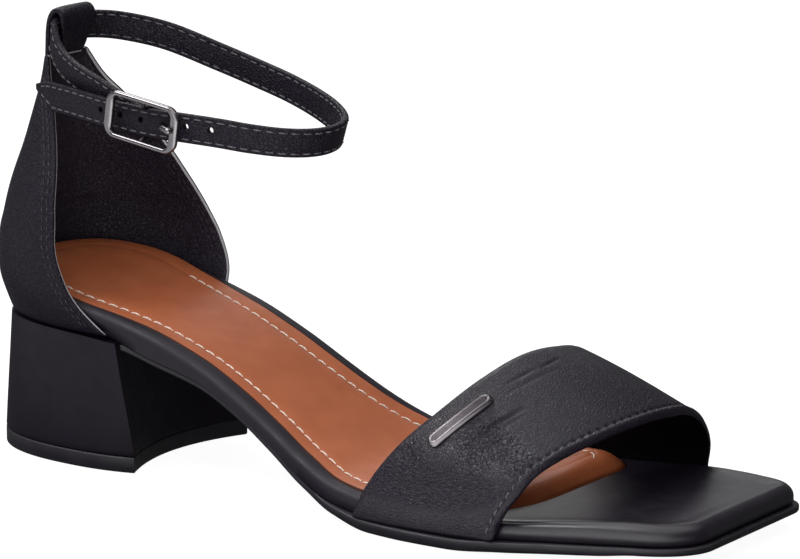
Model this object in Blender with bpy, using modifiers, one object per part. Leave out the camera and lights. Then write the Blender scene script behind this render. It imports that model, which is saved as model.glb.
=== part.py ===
"""Block-heel ankle-strap sandal for the right foot, as separate closed solids.

Sizes are millimetres in the shoe's own layout: x runs forward from the heel, y to the inner
(medial) side and z up from the floor. The finished objects are in metres, centred over the floor.
"""
from collections import namedtuple
from math import cos, pi, radians, sin

import bmesh
import bpy
import numpy as np
from mathutils import Matrix, Vector

MM = 0.001

# Overall layout
CENTRE_X = 117.21         # middle of the shoe's length, moved to the origin
CENTRE_Y = 1.26           # middle of the shoe's width, moved to the origin
SEAT_GAP = 0.3            # clearance between pieces that meet
LEATHER = 1.8             # wall of the heel cup and the vamp band

# Footbed and outsole
HEEL_BACK = -0.9          # rear of the footbed
HEEL_ROUND_X = 38.0       # where the round heel end meets the sides
HEEL_POWER = 2.5          # superellipse power of the heel end
TOE_FRONT = 236.9         # straight front edge of the square toe
TOE_CORNER = {"lateral": (13.4, 10.0), "medial": (9.5, 7.0)}   # length and turn-in of each corner
TOE_POWER = 2.2
FOOTBED_EDGE = 2.8        # radius of the footbed's rounded top edge
TOE_EDGE = 3.6            # the same at the toe, where the edge is softer
TOE_EDGE_RUN = (186.0, 216.0)   # stretch along x where it widens
HEEL_TUCK = 3.0           # how far the footbed's lower edge draws in above the heel
TUCK_END = (46.0, 57.0)   # stretch along x where that tuck dies out
OUTSOLE_BACK = 51.0       # rear end of the outsole, at the heel breast
OUTSOLE_EDGE = 0.7        # chamfer of the outsole's lower edge

# Insole pad
PAD_SUNK = 1.2            # how far the pad is let into the footbed
PAD_EDGE = 0.35           # rounding of its upper edge where it is thin
PAD_EDGE_SHARE = 0.5      # share of its height above the footbed that the rounding takes as well
RECESS_CUT = 5.0          # height of the cutter for its recess above the footbed
PAD_FRONT = 184.3
PAD_CORNER = {"lateral": (24.0, 30.0), "medial": (17.0, 16.0)}

# Heel block and top lift
LIFT_HEIGHT = 4.6
HEEL_CORNER_POWER = 2.5
BREAST_DEPTH = 6.4        # hollow of the heel breast

# Strap loop
LOOP_WALL = 1.5
LOOP_LATERAL = -8.6       # its lateral end
LOOP_MEDIAL = (4.0, 7.0)  # its medial end, low down and at the fold
LOOP_TAPER = (118.0, 124.0)   # heights between which the medial end widens

# Ankle strap and buckle
STRAP_WIDTH = 8.2
TIP_CUT = 10.0            # length of the slanted cut that shapes the free end
TIP_WIDTH = 2.0           # width left at its point
TIP_POWER = 0.8           # fullness of the cut
TIP_DROP = 0.8            # how far the upper corner is rounded off
STRAP_THICK = 1.9
STRAP_EDGE = 0.5          # chamfer of the strap's long edges
STRAP_STEP = 3.0          # distance between the strap's cross sections
FOLD_RETURN = 9.0         # length of the strap's end turned back behind the centre bar
FOLD_RUN = 5.0            # straight run of the strap next to the centre bar
HOLE_RADIUS = 0.9
HOLE_PITCH = 7.5
HOLE_PLACES = range(-2, 4)   # in pitches from the hole that the prong stands in
HOLE_RISE = 0.6           # how far the holes lie above the strap's middle
BUCKLE_LENGTH = 25.4
BUCKLE_HEIGHT = 13.6
BUCKLE_WIRE = 1.2         # radius of the buckle's wire
BUCKLE_CORNER = 4.0
CENTRE_BAR = 0.6          # radius of the centre bar
PRONG_RADIUS = 0.8
PRONG_RUN = 5.9           # from the centre bar to the hole that the prong stands in
PRONG_ROOM = 0.6          # clearance round the prong in its hole
PRONG_HOOK = (90, 65, 40)   # turns of its hook round the centre bar
PRONG_STEM = [(-0.9, -2.6), (-0.1, -1.2), (0.1, 1.1), (1.6, 2.9)]   # along and out, from the hole's middle
PRONG_REST = 0.9          # where its straight end starts, behind the front bar
PRONG_PAST = 0.5          # how far its end passes that bar's middle
BAR_CORNER = 0.8          # cut across the centre bar's bends
SLOT_LENGTH = 7.0         # of the slit that lets the prong through the folded end
SLOT_MIDDLE = 2.0         # its place ahead of the centre bar
SLOT_WIDTH = 2 * PRONG_RADIUS + 1.0
SLOT_DEPTH = 1.6          # how far it reaches behind the centre bar's middle
SLOT_LEFT = 0.05          # clearance it leaves to the free strap in front

# Plain metal bar on the vamp
BAR_LENGTH = 21.2
BAR_WIDTH = 3.7
BAR_THICK = 1.1
BAR_EDGE = 0.35           # rounding of the bar's upper edge
BAR_ACROSS = 0.333        # its middle, as a share of the way over the band
BAR_ALONG = 0.212         # its distance from the band's rear edge, as a share of the band's width
BAR_SPAN = 0.105          # trial half span, scaled to the bar's real length
BAR_TIP = 0.25            # half width left at its round ends
BAR_STEP = 0.01           # step for directions on the band

SoleRow = namedtuple("SoleRow", "x lateral medial top bottom sole reach")
# lateral and medial: the footbed's half widths; top and bottom: its heights; sole: the outsole's
# thickness; reach: how far the outsole stands out beyond the footbed
SOLE_ROWS = [
    SoleRow(-6.0, 29.2, 29.2, 54.4, 40.1, 1.8, -1.5),
    SoleRow(6.0, 29.2, 29.2, 54.0, 40.0, 1.8, -1.5),
    SoleRow(18.0, 29.2, 29.2, 52.4, 39.7, 1.8, -1.5),
    SoleRow(30.0, 29.2, 29.2, 49.7, 39.2, 1.8, -1.5),
    SoleRow(38.0, 29.2, 29.2, 47.6, 38.7, 1.8, -1.5),
    SoleRow(50.0, 28.4, 28.6, 44.7, 37.4, 1.8, -1.5),
    SoleRow(62.0, 27.9, 27.8, 41.4, 34.2, 1.8, -1.5),
    SoleRow(78.0, 27.5, 26.8, 35.3, 29.8, 1.8, -1.5),
    SoleRow(91.0, 28.3, 26.5, 29.1, 24.0, 1.8, -1.3),
    SoleRow(104.0, 30.0, 27.3, 22.3, 17.0, 2.0, -0.9),
    SoleRow(118.0, 33.0, 30.3, 15.3, 9.4, 2.2, -0.6),
    SoleRow(130.0, 35.2, 33.9, 10.8, 5.3, 2.6, 0.8),
    SoleRow(145.0, 36.8, 37.2, 8.8, 3.5, 3.2, 2.5),
    SoleRow(158.0, 37.5, 39.4, 8.6, 3.5, 3.2, 3.0),
    SoleRow(170.0, 37.3, 40.2, 8.6, 3.5, 3.2, 2.9),
    SoleRow(186.0, 36.2, 40.4, 9.5, 4.5, 3.0, 2.0),
    SoleRow(201.0, 34.0, 39.8, 11.1, 5.6, 2.8, 1.3),
    SoleRow(213.0, 31.3, 38.4, 12.1, 6.3, 2.6, 1.2),
    SoleRow(223.0, 28.6, 37.0, 12.4, 6.8, 2.1, 1.0),
    SoleRow(240.0, 23.4, 34.6, 12.4, 7.2, 2.0, 1.7),
]

PadRow = namedtuple("PadRow", "x lateral medial proud")
# lateral and medial: margins of footbed left bare beside the pad; proud: its height above the footbed
PAD_ROWS = [
    PadRow(-6.0, 1.0, 1.0, 0.2),
    PadRow(24.0, 1.0, 1.0, 0.2),
    PadRow(43.0, 3.0, 2.8, 0.2),
    PadRow(62.0, 4.6, 4.2, 0.2),
    PadRow(95.0, 5.2, 4.0, 0.2),
    PadRow(118.0, 4.7, 3.6, 0.3),
    PadRow(135.0, 3.4, 3.0, 0.5),
    PadRow(150.0, 3.4, 2.4, 1.6),
    PadRow(165.0, 3.4, 2.0, 3.2),
    PadRow(176.0, 3.0, 2.2, 3.9),
    PadRow(184.0, 3.0, 3.0, 3.8),
]

HeelRow = namedtuple("HeelRow", "rise back front half corner")
# rise: share of the heel's height; back and front: its ends along x; half: its widest half width;
# corner: its half width at the breast
HEEL_ROWS = [
    HeelRow(0.0, -4.2, 55.3, 29.6, 26.8),
    HeelRow(0.15, -3.9, 54.6, 29.2, 26.9),
    HeelRow(0.4, -3.2, 53.0, 28.7, 27.1),
    HeelRow(0.7, -2.1, 51.2, 28.5, 27.5),
    HeelRow(1.0, -0.9, 49.7, 28.6, 27.9),
]

CupRow = namedtuple("CupRow", "z back lateral medial half power")
# back: the outer wall's rear along x; lateral and medial: its cut edges along x on the two sides;
# half: half width at the cut edges; power: superellipse power of the plan
CUP_ROWS = [
    CupRow(39.0, -0.2, 46.5, 46.2, 29.4, 2.6),
    CupRow(43.0, -1.4, 42.7, 45.0, 31.2, 2.5),
    CupRow(47.0, -2.7, 39.4, 44.5, 32.7, 2.4),
    CupRow(52.0, -3.5, 36.3, 43.0, 33.7, 2.4),
    CupRow(58.0, -3.8, 33.6, 40.4, 33.9, 2.3),
    CupRow(64.0, -3.3, 31.5, 37.4, 33.1, 2.3),
    CupRow(70.0, -2.3, 30.3, 34.6, 31.4, 2.25),
    CupRow(76.0, -1.1, 28.6, 31.8, 29.1, 2.25),
    CupRow(82.0, 0.4, 27.1, 29.2, 26.4, 2.25),
    CupRow(88.0, 2.1, 24.9, 26.5, 23.3, 2.25),
    CupRow(94.0, 3.8, 22.2, 23.1, 20.2, 2.25),
    CupRow(100.0, 5.7, 19.2, 18.4, 17.0, 2.25),
    CupRow(106.0, 7.5, 15.2, 14.1, 13.2, 2.25),
    CupRow(113.0, 9.0, 12.0, 11.0, 10.0, 2.25),
]
CUP_DROP = 1.4            # how much higher the cup's lower edge lies at the back than at the front

VampRow = namedtuple("VampRow", "across x_rear y_rear z_rear x_front y_front z_front")
# the band's rear and front edges from the lateral sole line, over the foot, to the medial one
VAMP_ROWS = [
    VampRow(0.00, 139.3, -38.6, 3.9, 184.0, -38.8, 4.6),
    VampRow(0.07, 141.8, -38.6, 9.5, 186.8, -38.6, 11.0),
    VampRow(0.16, 146.2, -36.8, 17.6, 190.4, -37.0, 17.2),
    VampRow(0.25, 151.6, -32.6, 25.5, 193.4, -32.6, 22.9),
    VampRow(0.34, 158.2, -26.2, 33.0, 197.0, -25.2, 26.7),
    VampRow(0.45, 164.6, -14.0, 41.0, 201.4, -12.8, 29.8),
    VampRow(0.55, 168.6, -0.5, 45.4, 205.0, 0.5, 31.7),
    VampRow(0.65, 171.2, 12.5, 45.7, 206.8, 13.5, 31.8),
    VampRow(0.75, 171.6, 25.0, 42.5, 206.8, 26.0, 29.8),
    VampRow(0.84, 169.0, 34.6, 32.3, 206.0, 35.0, 24.5),
    VampRow(0.92, 164.0, 41.1, 18.5, 204.0, 41.4, 16.5),
    VampRow(1.00, 160.0, 42.4, 3.9, 202.0, 42.2, 6.2),
]
VAMP_CROWN = 1.2          # fullness of the band between its two edges

StrapRow = namedtuple("StrapRow", "x y z lean")
# the strap's centre line; lean: degrees that its upper edge tilts inward
FIXED_ROWS = [
    StrapRow(50.0, -24.7, 105.3, -4.0),
    StrapRow(41.0, -22.9, 108.3, -6.0),
    StrapRow(32.0, -20.2, 110.6, -6.0),
    StrapRow(24.0, -16.6, 113.0, -4.0),
    StrapRow(17.9, -12.8, 116.4, 0.0),
    StrapRow(13.6, -8.0, 120.1, 8.0),
]
RING_ROWS = [
    StrapRow(12.8, 0.0, 120.5, 10.0),
    StrapRow(13.6, 8.0, 120.4, 8.0),
    StrapRow(19.6, 15.4, 119.4, 0.0),
    StrapRow(31.0, 22.2, 116.5, 0.0),
    StrapRow(46.5, 26.4, 111.3, 0.0),
    StrapRow(60.0, 27.2, 107.6, -2.0),
    StrapRow(73.0, 25.4, 104.8, -5.0),
    StrapRow(86.0, 20.4, 102.5, -9.0),
    StrapRow(97.0, 13.4, 100.9, -12.0),
    StrapRow(105.2, 5.2, 99.6, -14.0),
    StrapRow(108.2, -3.0, 98.9, -14.0),
    StrapRow(106.9, -10.7, 98.7, -12.0),
    StrapRow(101.9, -17.6, 99.2, -8.0),
    StrapRow(94.0, -22.5, 100.2, -4.0),
    StrapRow(85.5, -25.6, 101.3, -1.0),
    StrapRow(75.0, -27.7, 102.0, 0.0),
]
BUCKLE_ROW = StrapRow(62.7, -28.4, 102.3, 0.0)
FREE_ROWS = [
    StrapRow(46.5, -27.2, 103.5, 0.0),
    StrapRow(32.0, -23.8, 104.3, 0.0),
    StrapRow(22.5, -20.4, 104.2, 0.0),
    StrapRow(18.0, -18.3, 103.8, 0.0),
    StrapRow(14.9, -17.0, 103.5, 0.0),
]

LoopRow = namedtuple("LoopRow", "x z")
# centre line of the folded tab's section, x from the cup's rear at its top edge
LOOP_ROWS = [
    LoopRow(0.75, 113.3),
    LoopRow(0.95, 117.0),
    LoopRow(1.15, 120.5),
    LoopRow(1.8, 123.8),
    LoopRow(3.3, 126.0),
    LoopRow(5.0, 126.3),
    LoopRow(6.4, 124.8),
    LoopRow(6.7, 121.5),
    LoopRow(6.5, 118.2),
    LoopRow(5.5, 115.5),
    LoopRow(4.0, 113.4),
]


def clear_scene():
    for item in list(bpy.data.objects):
        bpy.data.objects.remove(item, do_unlink=True)


def make_material(name, colour, roughness, metallic=0.0):
    material = bpy.data.materials.new(name)
    material.use_nodes = True
    shader = material.node_tree.nodes["Principled BSDF"]
    shader.inputs["Base Color"].default_value = (*colour, 1.0)
    shader.inputs["Roughness"].default_value = roughness
    shader.inputs["Metallic"].default_value = metallic
    return material


def make_collection(name):
    collection = bpy.data.collections.new(name)
    bpy.context.scene.collection.children.link(collection)
    return collection


def smooth_curve(knots, values, limited=True):
    """A function through the values in cubic pieces; limited slopes never overshoot."""
    knots = np.asarray(knots, float)
    values = np.asarray(values, float)
    steps = np.diff(knots)
    slopes = np.diff(values) / steps
    middle = (slopes[:-1] * steps[1:] + slopes[1:] * steps[:-1]) / (steps[:-1] + steps[1:])
    if limited:
        before, after = slopes[:-1], slopes[1:]
        level = before * after <= 0
        middle = np.where(level, 0.0, 2 * before * after / np.where(level, 1.0, before + after))
    tangents = np.concatenate(([slopes[0]], middle, [slopes[-1]]))

    def value(at):
        at = np.clip(np.asarray(at, float), knots[0], knots[-1])
        i = np.clip(np.searchsorted(knots, at) - 1, 0, len(steps) - 1)
        t = (at - knots[i]) / steps[i]
        rise = t * t * (3 - 2 * t)
        lead = t * (1 - t) ** 2 * steps[i] * tangents[i]
        trail = t * t * (t - 1) * steps[i] * tangents[i + 1]
        return values[i] + (values[i + 1] - values[i]) * rise + lead + trail

    return value


def column(rows, name, limited=True):
    return smooth_curve([row[0] for row in rows], [getattr(row, name) for row in rows], limited)


def spline_points(points, step):
    """Points about one step apart along a smooth curve through the given ones."""
    points = np.asarray(points, float)
    ends = np.vstack((2 * points[0] - points[1], points, 2 * points[-1] - points[-2]))
    result = [points[0]]
    for i in range(1, len(ends) - 2):
        a, b, c, d = ends[i - 1:i + 3]
        pieces = max(1, round(float(np.linalg.norm((c - b)[:3])) / step))
        for k in range(1, pieces + 1):
            t = k / pieces
            bend = (2 * a - 5 * b + 4 * c - d) * t * t + (3 * b - a - 3 * c + d) * t ** 3
            result.append(0.5 * (2 * b + (c - a) * t + bend))
    return np.array(result)


def add_object(name, mesh, material):
    """An object in the shoe's collection whose faces point outward."""
    shell = bmesh.new()
    shell.from_mesh(mesh)
    bmesh.ops.recalc_face_normals(shell, faces=shell.faces)
    shell.to_mesh(mesh)
    shell.free()
    mesh.materials.append(material)
    mesh.shade_smooth()
    mesh.set_sharp_from_angle(angle=radians(35))
    item = bpy.data.objects.new(name, mesh)
    PARTS.objects.link(item)
    item.parent = ROOT
    return item


def mesh_of(name, vertices, faces):
    mesh = bpy.data.meshes.new(name)
    mesh.from_pydata([Vector(v) * MM for v in np.asarray(vertices, float)], [], faces)
    mesh.update()
    return mesh


def grid_rim(rows, cols):
    """Indices of a grid's border, in order round it."""
    rim = [c for c in range(cols)]
    rim += [r * cols + cols - 1 for r in range(1, rows)]
    rim += [(rows - 1) * cols + c for c in range(cols - 2, -1, -1)]
    rim += [r * cols for r in range(rows - 2, 0, -1)]
    return rim


def stacked_solid(name, levels, material):
    """A solid through a stack of like grids: caps on the first and last, walls between the rims."""
    levels = [np.asarray(level, float) for level in levels]
    rows, cols = levels[0].shape[:2]
    rim = grid_rim(rows, cols)
    vertices = list(levels[0].reshape(-1, 3)) + list(levels[-1].reshape(-1, 3))
    size = rows * cols
    rings = [list(rim)]
    for level in levels[1:-1]:
        start = len(vertices)
        vertices += [level.reshape(-1, 3)[i] for i in rim]
        rings.append(list(range(start, start + len(rim))))
    rings.append([i + size for i in rim])
    faces = []
    for r in range(rows - 1):
        for c in range(cols - 1):
            a = r * cols + c
            faces.append((a, a + cols, a + cols + 1, a + 1))
            faces.append((a + size, a + 1 + size, a + cols + 1 + size, a + cols + size))
    for low, high in zip(rings, rings[1:]):
        for i in range(len(low)):
            j = (i + 1) % len(low)
            faces.append((low[i], low[j], high[j], high[i]))
    return add_object(name, mesh_of(name, vertices, faces), material)


def sheet_object(name, grid, thickness, material):
    """A wall: an open sheet on the outer face, thickened inward by Solidify."""
    rows, cols = grid.shape[:2]
    faces = []
    for r in range(rows - 1):
        for c in range(cols - 1):
            a = r * cols + c
            faces.append((a, a + 1, a + cols + 1, a + cols))
    item = add_object(name, mesh_of(name, grid.reshape(-1, 3), faces), material)
    solidify = item.modifiers.new("Wall", "SOLIDIFY")
    solidify.thickness = thickness * MM
    solidify.offset = -1.0
    solidify.use_even_offset = True
    return item


def sweep_object(name, rings, material):
    """A solid through closed rings of points, with flat ends."""
    count = len(rings[0])
    vertices = [point for ring in rings for point in ring]
    faces = [tuple(range(count)), tuple(range((len(rings) - 1) * count, len(rings) * count))]
    for k in range(len(rings) - 1):
        for i in range(count):
            j = (i + 1) % count
            faces.append((k * count + i, k * count + j, (k + 1) * count + j, (k + 1) * count + i))
    return add_object(name, mesh_of(name, vertices, faces), material)


def boolean(item, other, operation):
    """Cuts or joins another object into this one for good, and drops the other one."""
    modifier = item.modifiers.new("Cut", "BOOLEAN")
    modifier.operation = operation
    modifier.object = other
    modifier.solver = "EXACT"
    bpy.context.view_layer.update()
    graph = bpy.context.evaluated_depsgraph_get()
    mesh = bpy.data.meshes.new_from_object(item.evaluated_get(graph))
    item.modifiers.remove(modifier)
    item.data = mesh
    bpy.data.objects.remove(other, do_unlink=True)


def wire_object(name, points, radius, material, cyclic=False, sides=2):
    """A round wire along the points, turned into a closed mesh."""
    curve = bpy.data.curves.new(name, "CURVE")
    curve.dimensions = "3D"
    curve.bevel_depth = radius * MM
    curve.bevel_resolution = sides
    curve.use_fill_caps = not cyclic
    spline = curve.splines.new("POLY")
    spline.points.add(len(points) - 1)
    spline.use_cyclic_u = cyclic
    for target, point in zip(spline.points, points):
        target.co = (*(Vector(point) * MM), 1.0)
    holder = bpy.data.objects.new(name + "_route", curve)
    PARTS.objects.link(holder)
    bpy.context.view_layer.update()
    graph = bpy.context.evaluated_depsgraph_get()
    mesh = bpy.data.meshes.new_from_object(holder.evaluated_get(graph))
    bpy.data.objects.remove(holder, do_unlink=True)
    weld = bmesh.new()
    weld.from_mesh(mesh)
    bmesh.ops.remove_doubles(weld, verts=weld.verts, dist=0.01 * MM)
    weld.to_mesh(mesh)
    weld.free()
    mesh.materials.clear()
    return add_object(name, mesh, material)


# Sole outlines

SOLE = {name: column(SOLE_ROWS, name) for name in SoleRow._fields[1:]}


def side_half_width(x, side):
    """Half width of the footbed at x on one side, with the round heel end."""
    width = SOLE[side](x)
    depth = np.clip((HEEL_ROUND_X - x) / (HEEL_ROUND_X - HEEL_BACK), 0.0, 1.0)
    return width * (1 - depth ** HEEL_POWER) ** (1 / HEEL_POWER)


def sole_sides(start, front, corners):
    """Points down both sides, from the start at the heel end to the front edge's straight part."""
    heel_turns = np.radians(np.array([5, 14, 24, 35, 47, 60, 75, 90]))
    heel_x = HEEL_ROUND_X - (HEEL_ROUND_X - HEEL_BACK) * np.cos(heel_turns) ** (2 / HEEL_POWER)
    side_end = front - max(length for length, _ in corners.values())
    side_x = np.linspace(HEEL_ROUND_X, side_end, 24)[1:-1]
    corner_turns = np.radians(np.linspace(0, 90, 7))
    along = np.concatenate((heel_x, side_x))
    along = np.concatenate(([start], along[along > start + 2])) if start > heel_x[0] else along
    sides = {}
    for side, sign in (("lateral", -1), ("medial", 1)):
        length, inward = corners[side]
        corner_x = front - length + length * np.sin(corner_turns) ** (2 / TOE_POWER)
        corner_in = inward * (1 - np.cos(corner_turns) ** (2 / TOE_POWER))
        straight = np.column_stack((along, sign * side_half_width(along, side)))
        turned = np.column_stack((corner_x, sign * (side_half_width(corner_x, side) - corner_in)))
        sides[side] = np.vstack((straight, turned))
    return sides


def offset_sides(sides, reach):
    """Both sides moved outward by a reach, which may differ from side to side and point to point."""
    if not isinstance(reach, dict):
        reach = {side: reach for side in sides}
    moved = {}
    for side, sign in (("lateral", -1), ("medial", 1)):
        points = sides[side]
        run = np.gradient(points, axis=0)
        run /= np.linalg.norm(run, axis=1)[:, None]
        outward = sign * np.column_stack((-run[:, 1], run[:, 0]))
        moved[side] = points + outward * np.broadcast_to(reach[side], len(points))[:, None]
    return moved


def level_grid(sides, height, cols=3):
    """A grid between the two sides, at a height given as a function of x."""
    share = np.linspace(0, 1, cols)[None, :, None]
    flat = sides["lateral"][:, None] * (1 - share) + sides["medial"][:, None] * share
    return np.dstack((flat, height(flat[..., 0])))


def build_outsole():
    sides = sole_sides(OUTSOLE_BACK, TOE_FRONT, TOE_CORNER)
    reach = SOLE["reach"](sides["lateral"][:, 0])

    def top(x):
        return SOLE["bottom"](x) - SEAT_GAP

    def base(x):
        return top(x) - SOLE["sole"](x)

    outer = offset_sides(sides, reach)
    lower = offset_sides(sides, reach - OUTSOLE_EDGE)
    levels = [
        level_grid(lower, base),
        level_grid(outer, lambda x: base(x) + OUTSOLE_EDGE),
        level_grid(outer, top),
    ]
    return stacked_solid("outsole", levels, RUBBER)


def edge_radius(x):
    """Radius of the footbed's rounded top edge."""
    return np.interp(x, TOE_EDGE_RUN, (FOOTBED_EDGE, TOE_EDGE))


def build_footbed():
    sides = sole_sides(HEEL_BACK, TOE_FRONT, TOE_CORNER)
    along = sides["lateral"][:, 0]
    tuck = HEEL_TUCK * np.interp(along, TUCK_END, (1.0, 0.0))
    levels = [level_grid(offset_sides(sides, -tuck), SOLE["bottom"])]
    for turn in np.radians((0, 30, 60, 90)):
        ring = offset_sides(sides, -edge_radius(along) * (1 - cos(turn)))

        def height(x, turn=turn):
            return SOLE["top"](x) - edge_radius(x) * (1 - sin(turn))

        levels.append(level_grid(ring, height))
    footbed = stacked_solid("footbed", levels, WRAP)
    outline = pad_outline(SEAT_GAP)
    recess = stacked_solid("pad_recess", [
        level_grid(outline, lambda x: SOLE["top"](x) - PAD_SUNK - SEAT_GAP),
        level_grid(outline, lambda x: SOLE["top"](x) + RECESS_CUT),
    ], WRAP)
    hide_cutter(recess)
    boolean(footbed, recess, "DIFFERENCE")
    return footbed


PAD = {name: column(PAD_ROWS, name) for name in PadRow._fields[1:]}


def pad_edge(x):
    """Rounding of the pad's upper edge, wider where the pad stands higher."""
    return PAD_EDGE + PAD_EDGE_SHARE * PAD["proud"](x)


def pad_outline(grow=0.0, rounding=0.0):
    """The insole pad's two sides, grown by a margin and drawn in by a share of its edge's rounding."""
    sides = sole_sides(HEEL_BACK, PAD_FRONT + PAD_ROWS[-1].lateral, PAD_CORNER)
    reach = {}
    for side, points in sides.items():
        along = points[:, 0]
        reach[side] = grow - PAD[side](along) - rounding * pad_edge(along)
    return offset_sides(sides, reach)


def build_insole():
    levels = [level_grid(pad_outline(), lambda x: SOLE["top"](x) - PAD_SUNK)]
    for turn in np.radians((0, 45, 90)):
        def height(x, turn=turn):
            return SOLE["top"](x) + PAD["proud"](x) - pad_edge(x) * (1 - sin(turn))

        levels.append(level_grid(pad_outline(rounding=1 - cos(turn)), height))
    return stacked_solid("insole", levels, TAN)


# Heel

HEEL = {name: column(HEEL_ROWS, name) for name in HeelRow._fields[1:]}


def heel_grid(rise, height, cols=9):
    """The heel's plan at a share of its height: round at the back, hollow at the breast."""
    back, front, half, corner = (float(HEEL[name](rise)) for name in HeelRow._fields[1:])
    widest = back + 0.7 * (front - back)
    turns = np.radians(np.array([6, 16, 28, 41, 55, 72, 90]))
    round_x = widest - (widest - back) * np.cos(turns) ** (2 / HEEL_CORNER_POWER)
    round_y = half * np.sin(turns) ** (2 / HEEL_CORNER_POWER)
    share = np.array([0.35, 0.7, 1.0])
    flat_x = widest + (front - widest) * share
    flat_y = half - (half - corner) * share ** 2
    side_x = np.concatenate((round_x, flat_x))
    side_y = np.concatenate((round_y, flat_y))
    across = np.linspace(-1, 1, cols)
    hollow = BREAST_DEPTH * np.clip((side_x - back) / (front - back), 0, 1) ** 2
    x = side_x[:, None] - hollow[:, None] * (1 - across ** 2)[None, :]
    y = side_y[:, None] * across[None, :]
    return np.dstack((x, y, height(x)))


def build_heel():
    def top(x):
        return SOLE["bottom"](x) - SEAT_GAP

    base = LIFT_HEIGHT + SEAT_GAP
    levels = []
    for row in HEEL_ROWS:
        rise = row.rise
        levels.append(heel_grid(rise, lambda x, rise=rise: base + rise * (top(x) - base)))
    block = stacked_solid("heel_block", levels, HEEL_BLACK)
    lift_levels = [heel_grid(0.0, lambda x, z=z: np.full_like(x, z)) for z in (0.0, LIFT_HEIGHT)]
    lift = stacked_solid("heel_top_lift", lift_levels, RUBBER)
    return block, lift


# Heel cup

CUP = {name: column(CUP_ROWS, name) for name in CupRow._fields[1:]}


def cup_point(z, turn):
    """A point of the cup's outer face at a height; turn runs from -90 to 90 degrees round the back."""
    power = 2 / CUP["power"](z)
    edge = np.where(turn < 0, CUP["lateral"](z), CUP["medial"](z))
    back = CUP["back"](z)
    x = edge - (edge - back) * np.cos(turn) ** power
    y = CUP["half"](z) * np.sign(turn) * np.abs(np.sin(turn)) ** power
    return x, y


def build_heel_cup():
    turns = np.radians(np.array([-90, -78, -66, -54, -43, -33, -24, -15, -5,
                                 5, 15, 24, 33, 43, 54, 66, 78, 90]))
    low, high = CUP_ROWS[0].z, CUP_ROWS[-1].z
    levels = np.concatenate(([low, low + 3.5], np.linspace(low + 8, high, 13)))
    grid = np.zeros((len(levels), len(turns), 3))
    for r, level in enumerate(levels):
        fade = (high - level) / (high - low)
        z = level + CUP_DROP * fade ** 4 * np.cos(turns)
        x, y = cup_point(z, turns)
        grid[r] = np.column_stack((x, y, z))
    return sheet_object("heel_cup", grid, LEATHER, LEATHER_BLACK)


# Vamp band

VAMP = {name: column(VAMP_ROWS, name, limited=False) for name in VampRow._fields[1:]}


def vamp_point(across, along):
    """A point of the band's outer face: across from lateral to medial, along from rear to front."""
    rear = np.array([VAMP[name + "_rear"](across) for name in "xyz"])
    front = np.array([VAMP[name + "_front"](across) for name in "xyz"])
    point = rear * (1 - along) + front * along
    crown = VAMP_CROWN * 4 * along * (1 - along) * sin(pi * min(max(across, 0.0), 1.0))
    point[2] += crown
    side = "lateral" if point[1] < 0 else "medial"
    clear = side_half_width(point[0], side) + SEAT_GAP + LEATHER
    if point[2] < SOLE["top"](point[0]) + 1.0 and abs(point[1]) < clear:
        point[1] = np.copysign(clear, point[1])
    if across in (0.0, 1.0):
        point[2] = SOLE["bottom"](point[0]) + SEAT_GAP
    return point


def vamp_normal(across, along):
    side = vamp_point(across + BAR_STEP, along) - vamp_point(across - BAR_STEP, along)
    run = vamp_point(across, along + BAR_STEP) - vamp_point(across, along - BAR_STEP)
    outward = np.cross(run, side)
    return outward / np.linalg.norm(outward)


def build_vamp():
    across = np.linspace(0, 1, 27)
    along = np.linspace(0, 1, 10)
    grid = np.array([[vamp_point(a, b) for b in along] for a in across])
    return sheet_object("vamp_band", grid, LEATHER, LEATHER_BLACK)


def build_vamp_bar():
    """The plain metal bar, bent over the band beside its rear edge."""
    spread = np.linspace(-BAR_SPAN, BAR_SPAN, 9)
    centres = np.array([vamp_point(BAR_ACROSS + share, BAR_ALONG) for share in spread])
    half_span = BAR_SPAN * BAR_LENGTH / np.linalg.norm(np.diff(centres, axis=0), axis=1).sum()
    low, high = SEAT_GAP, SEAT_GAP + BAR_THICK
    half = BAR_WIDTH / 2
    levels = []
    for height, inset in ((low, 0.0), (high - BAR_EDGE, 0.0), (high, BAR_EDGE)):
        grid = []
        for share in np.sin(np.radians(np.linspace(-90, 90, 13))):
            at = BAR_ACROSS + half_span * share * (1 - 2 * inset / BAR_LENGTH)
            outward = vamp_normal(at, BAR_ALONG)
            run = vamp_point(at + BAR_STEP, BAR_ALONG) - vamp_point(at - BAR_STEP, BAR_ALONG)
            beside = np.cross(outward, run / np.linalg.norm(run))
            from_end = min(BAR_LENGTH / 2 * (1 - abs(share)), half)
            width = max(BAR_TIP, (half ** 2 - (half - from_end) ** 2) ** 0.5 - inset)
            base = vamp_point(at, BAR_ALONG) + outward * height
            grid.append([base + beside * width * side for side in (-1, 0, 1)])
        levels.append(np.array(grid))
    return stacked_solid("vamp_bar", levels, METAL)


# Strap loop

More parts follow.
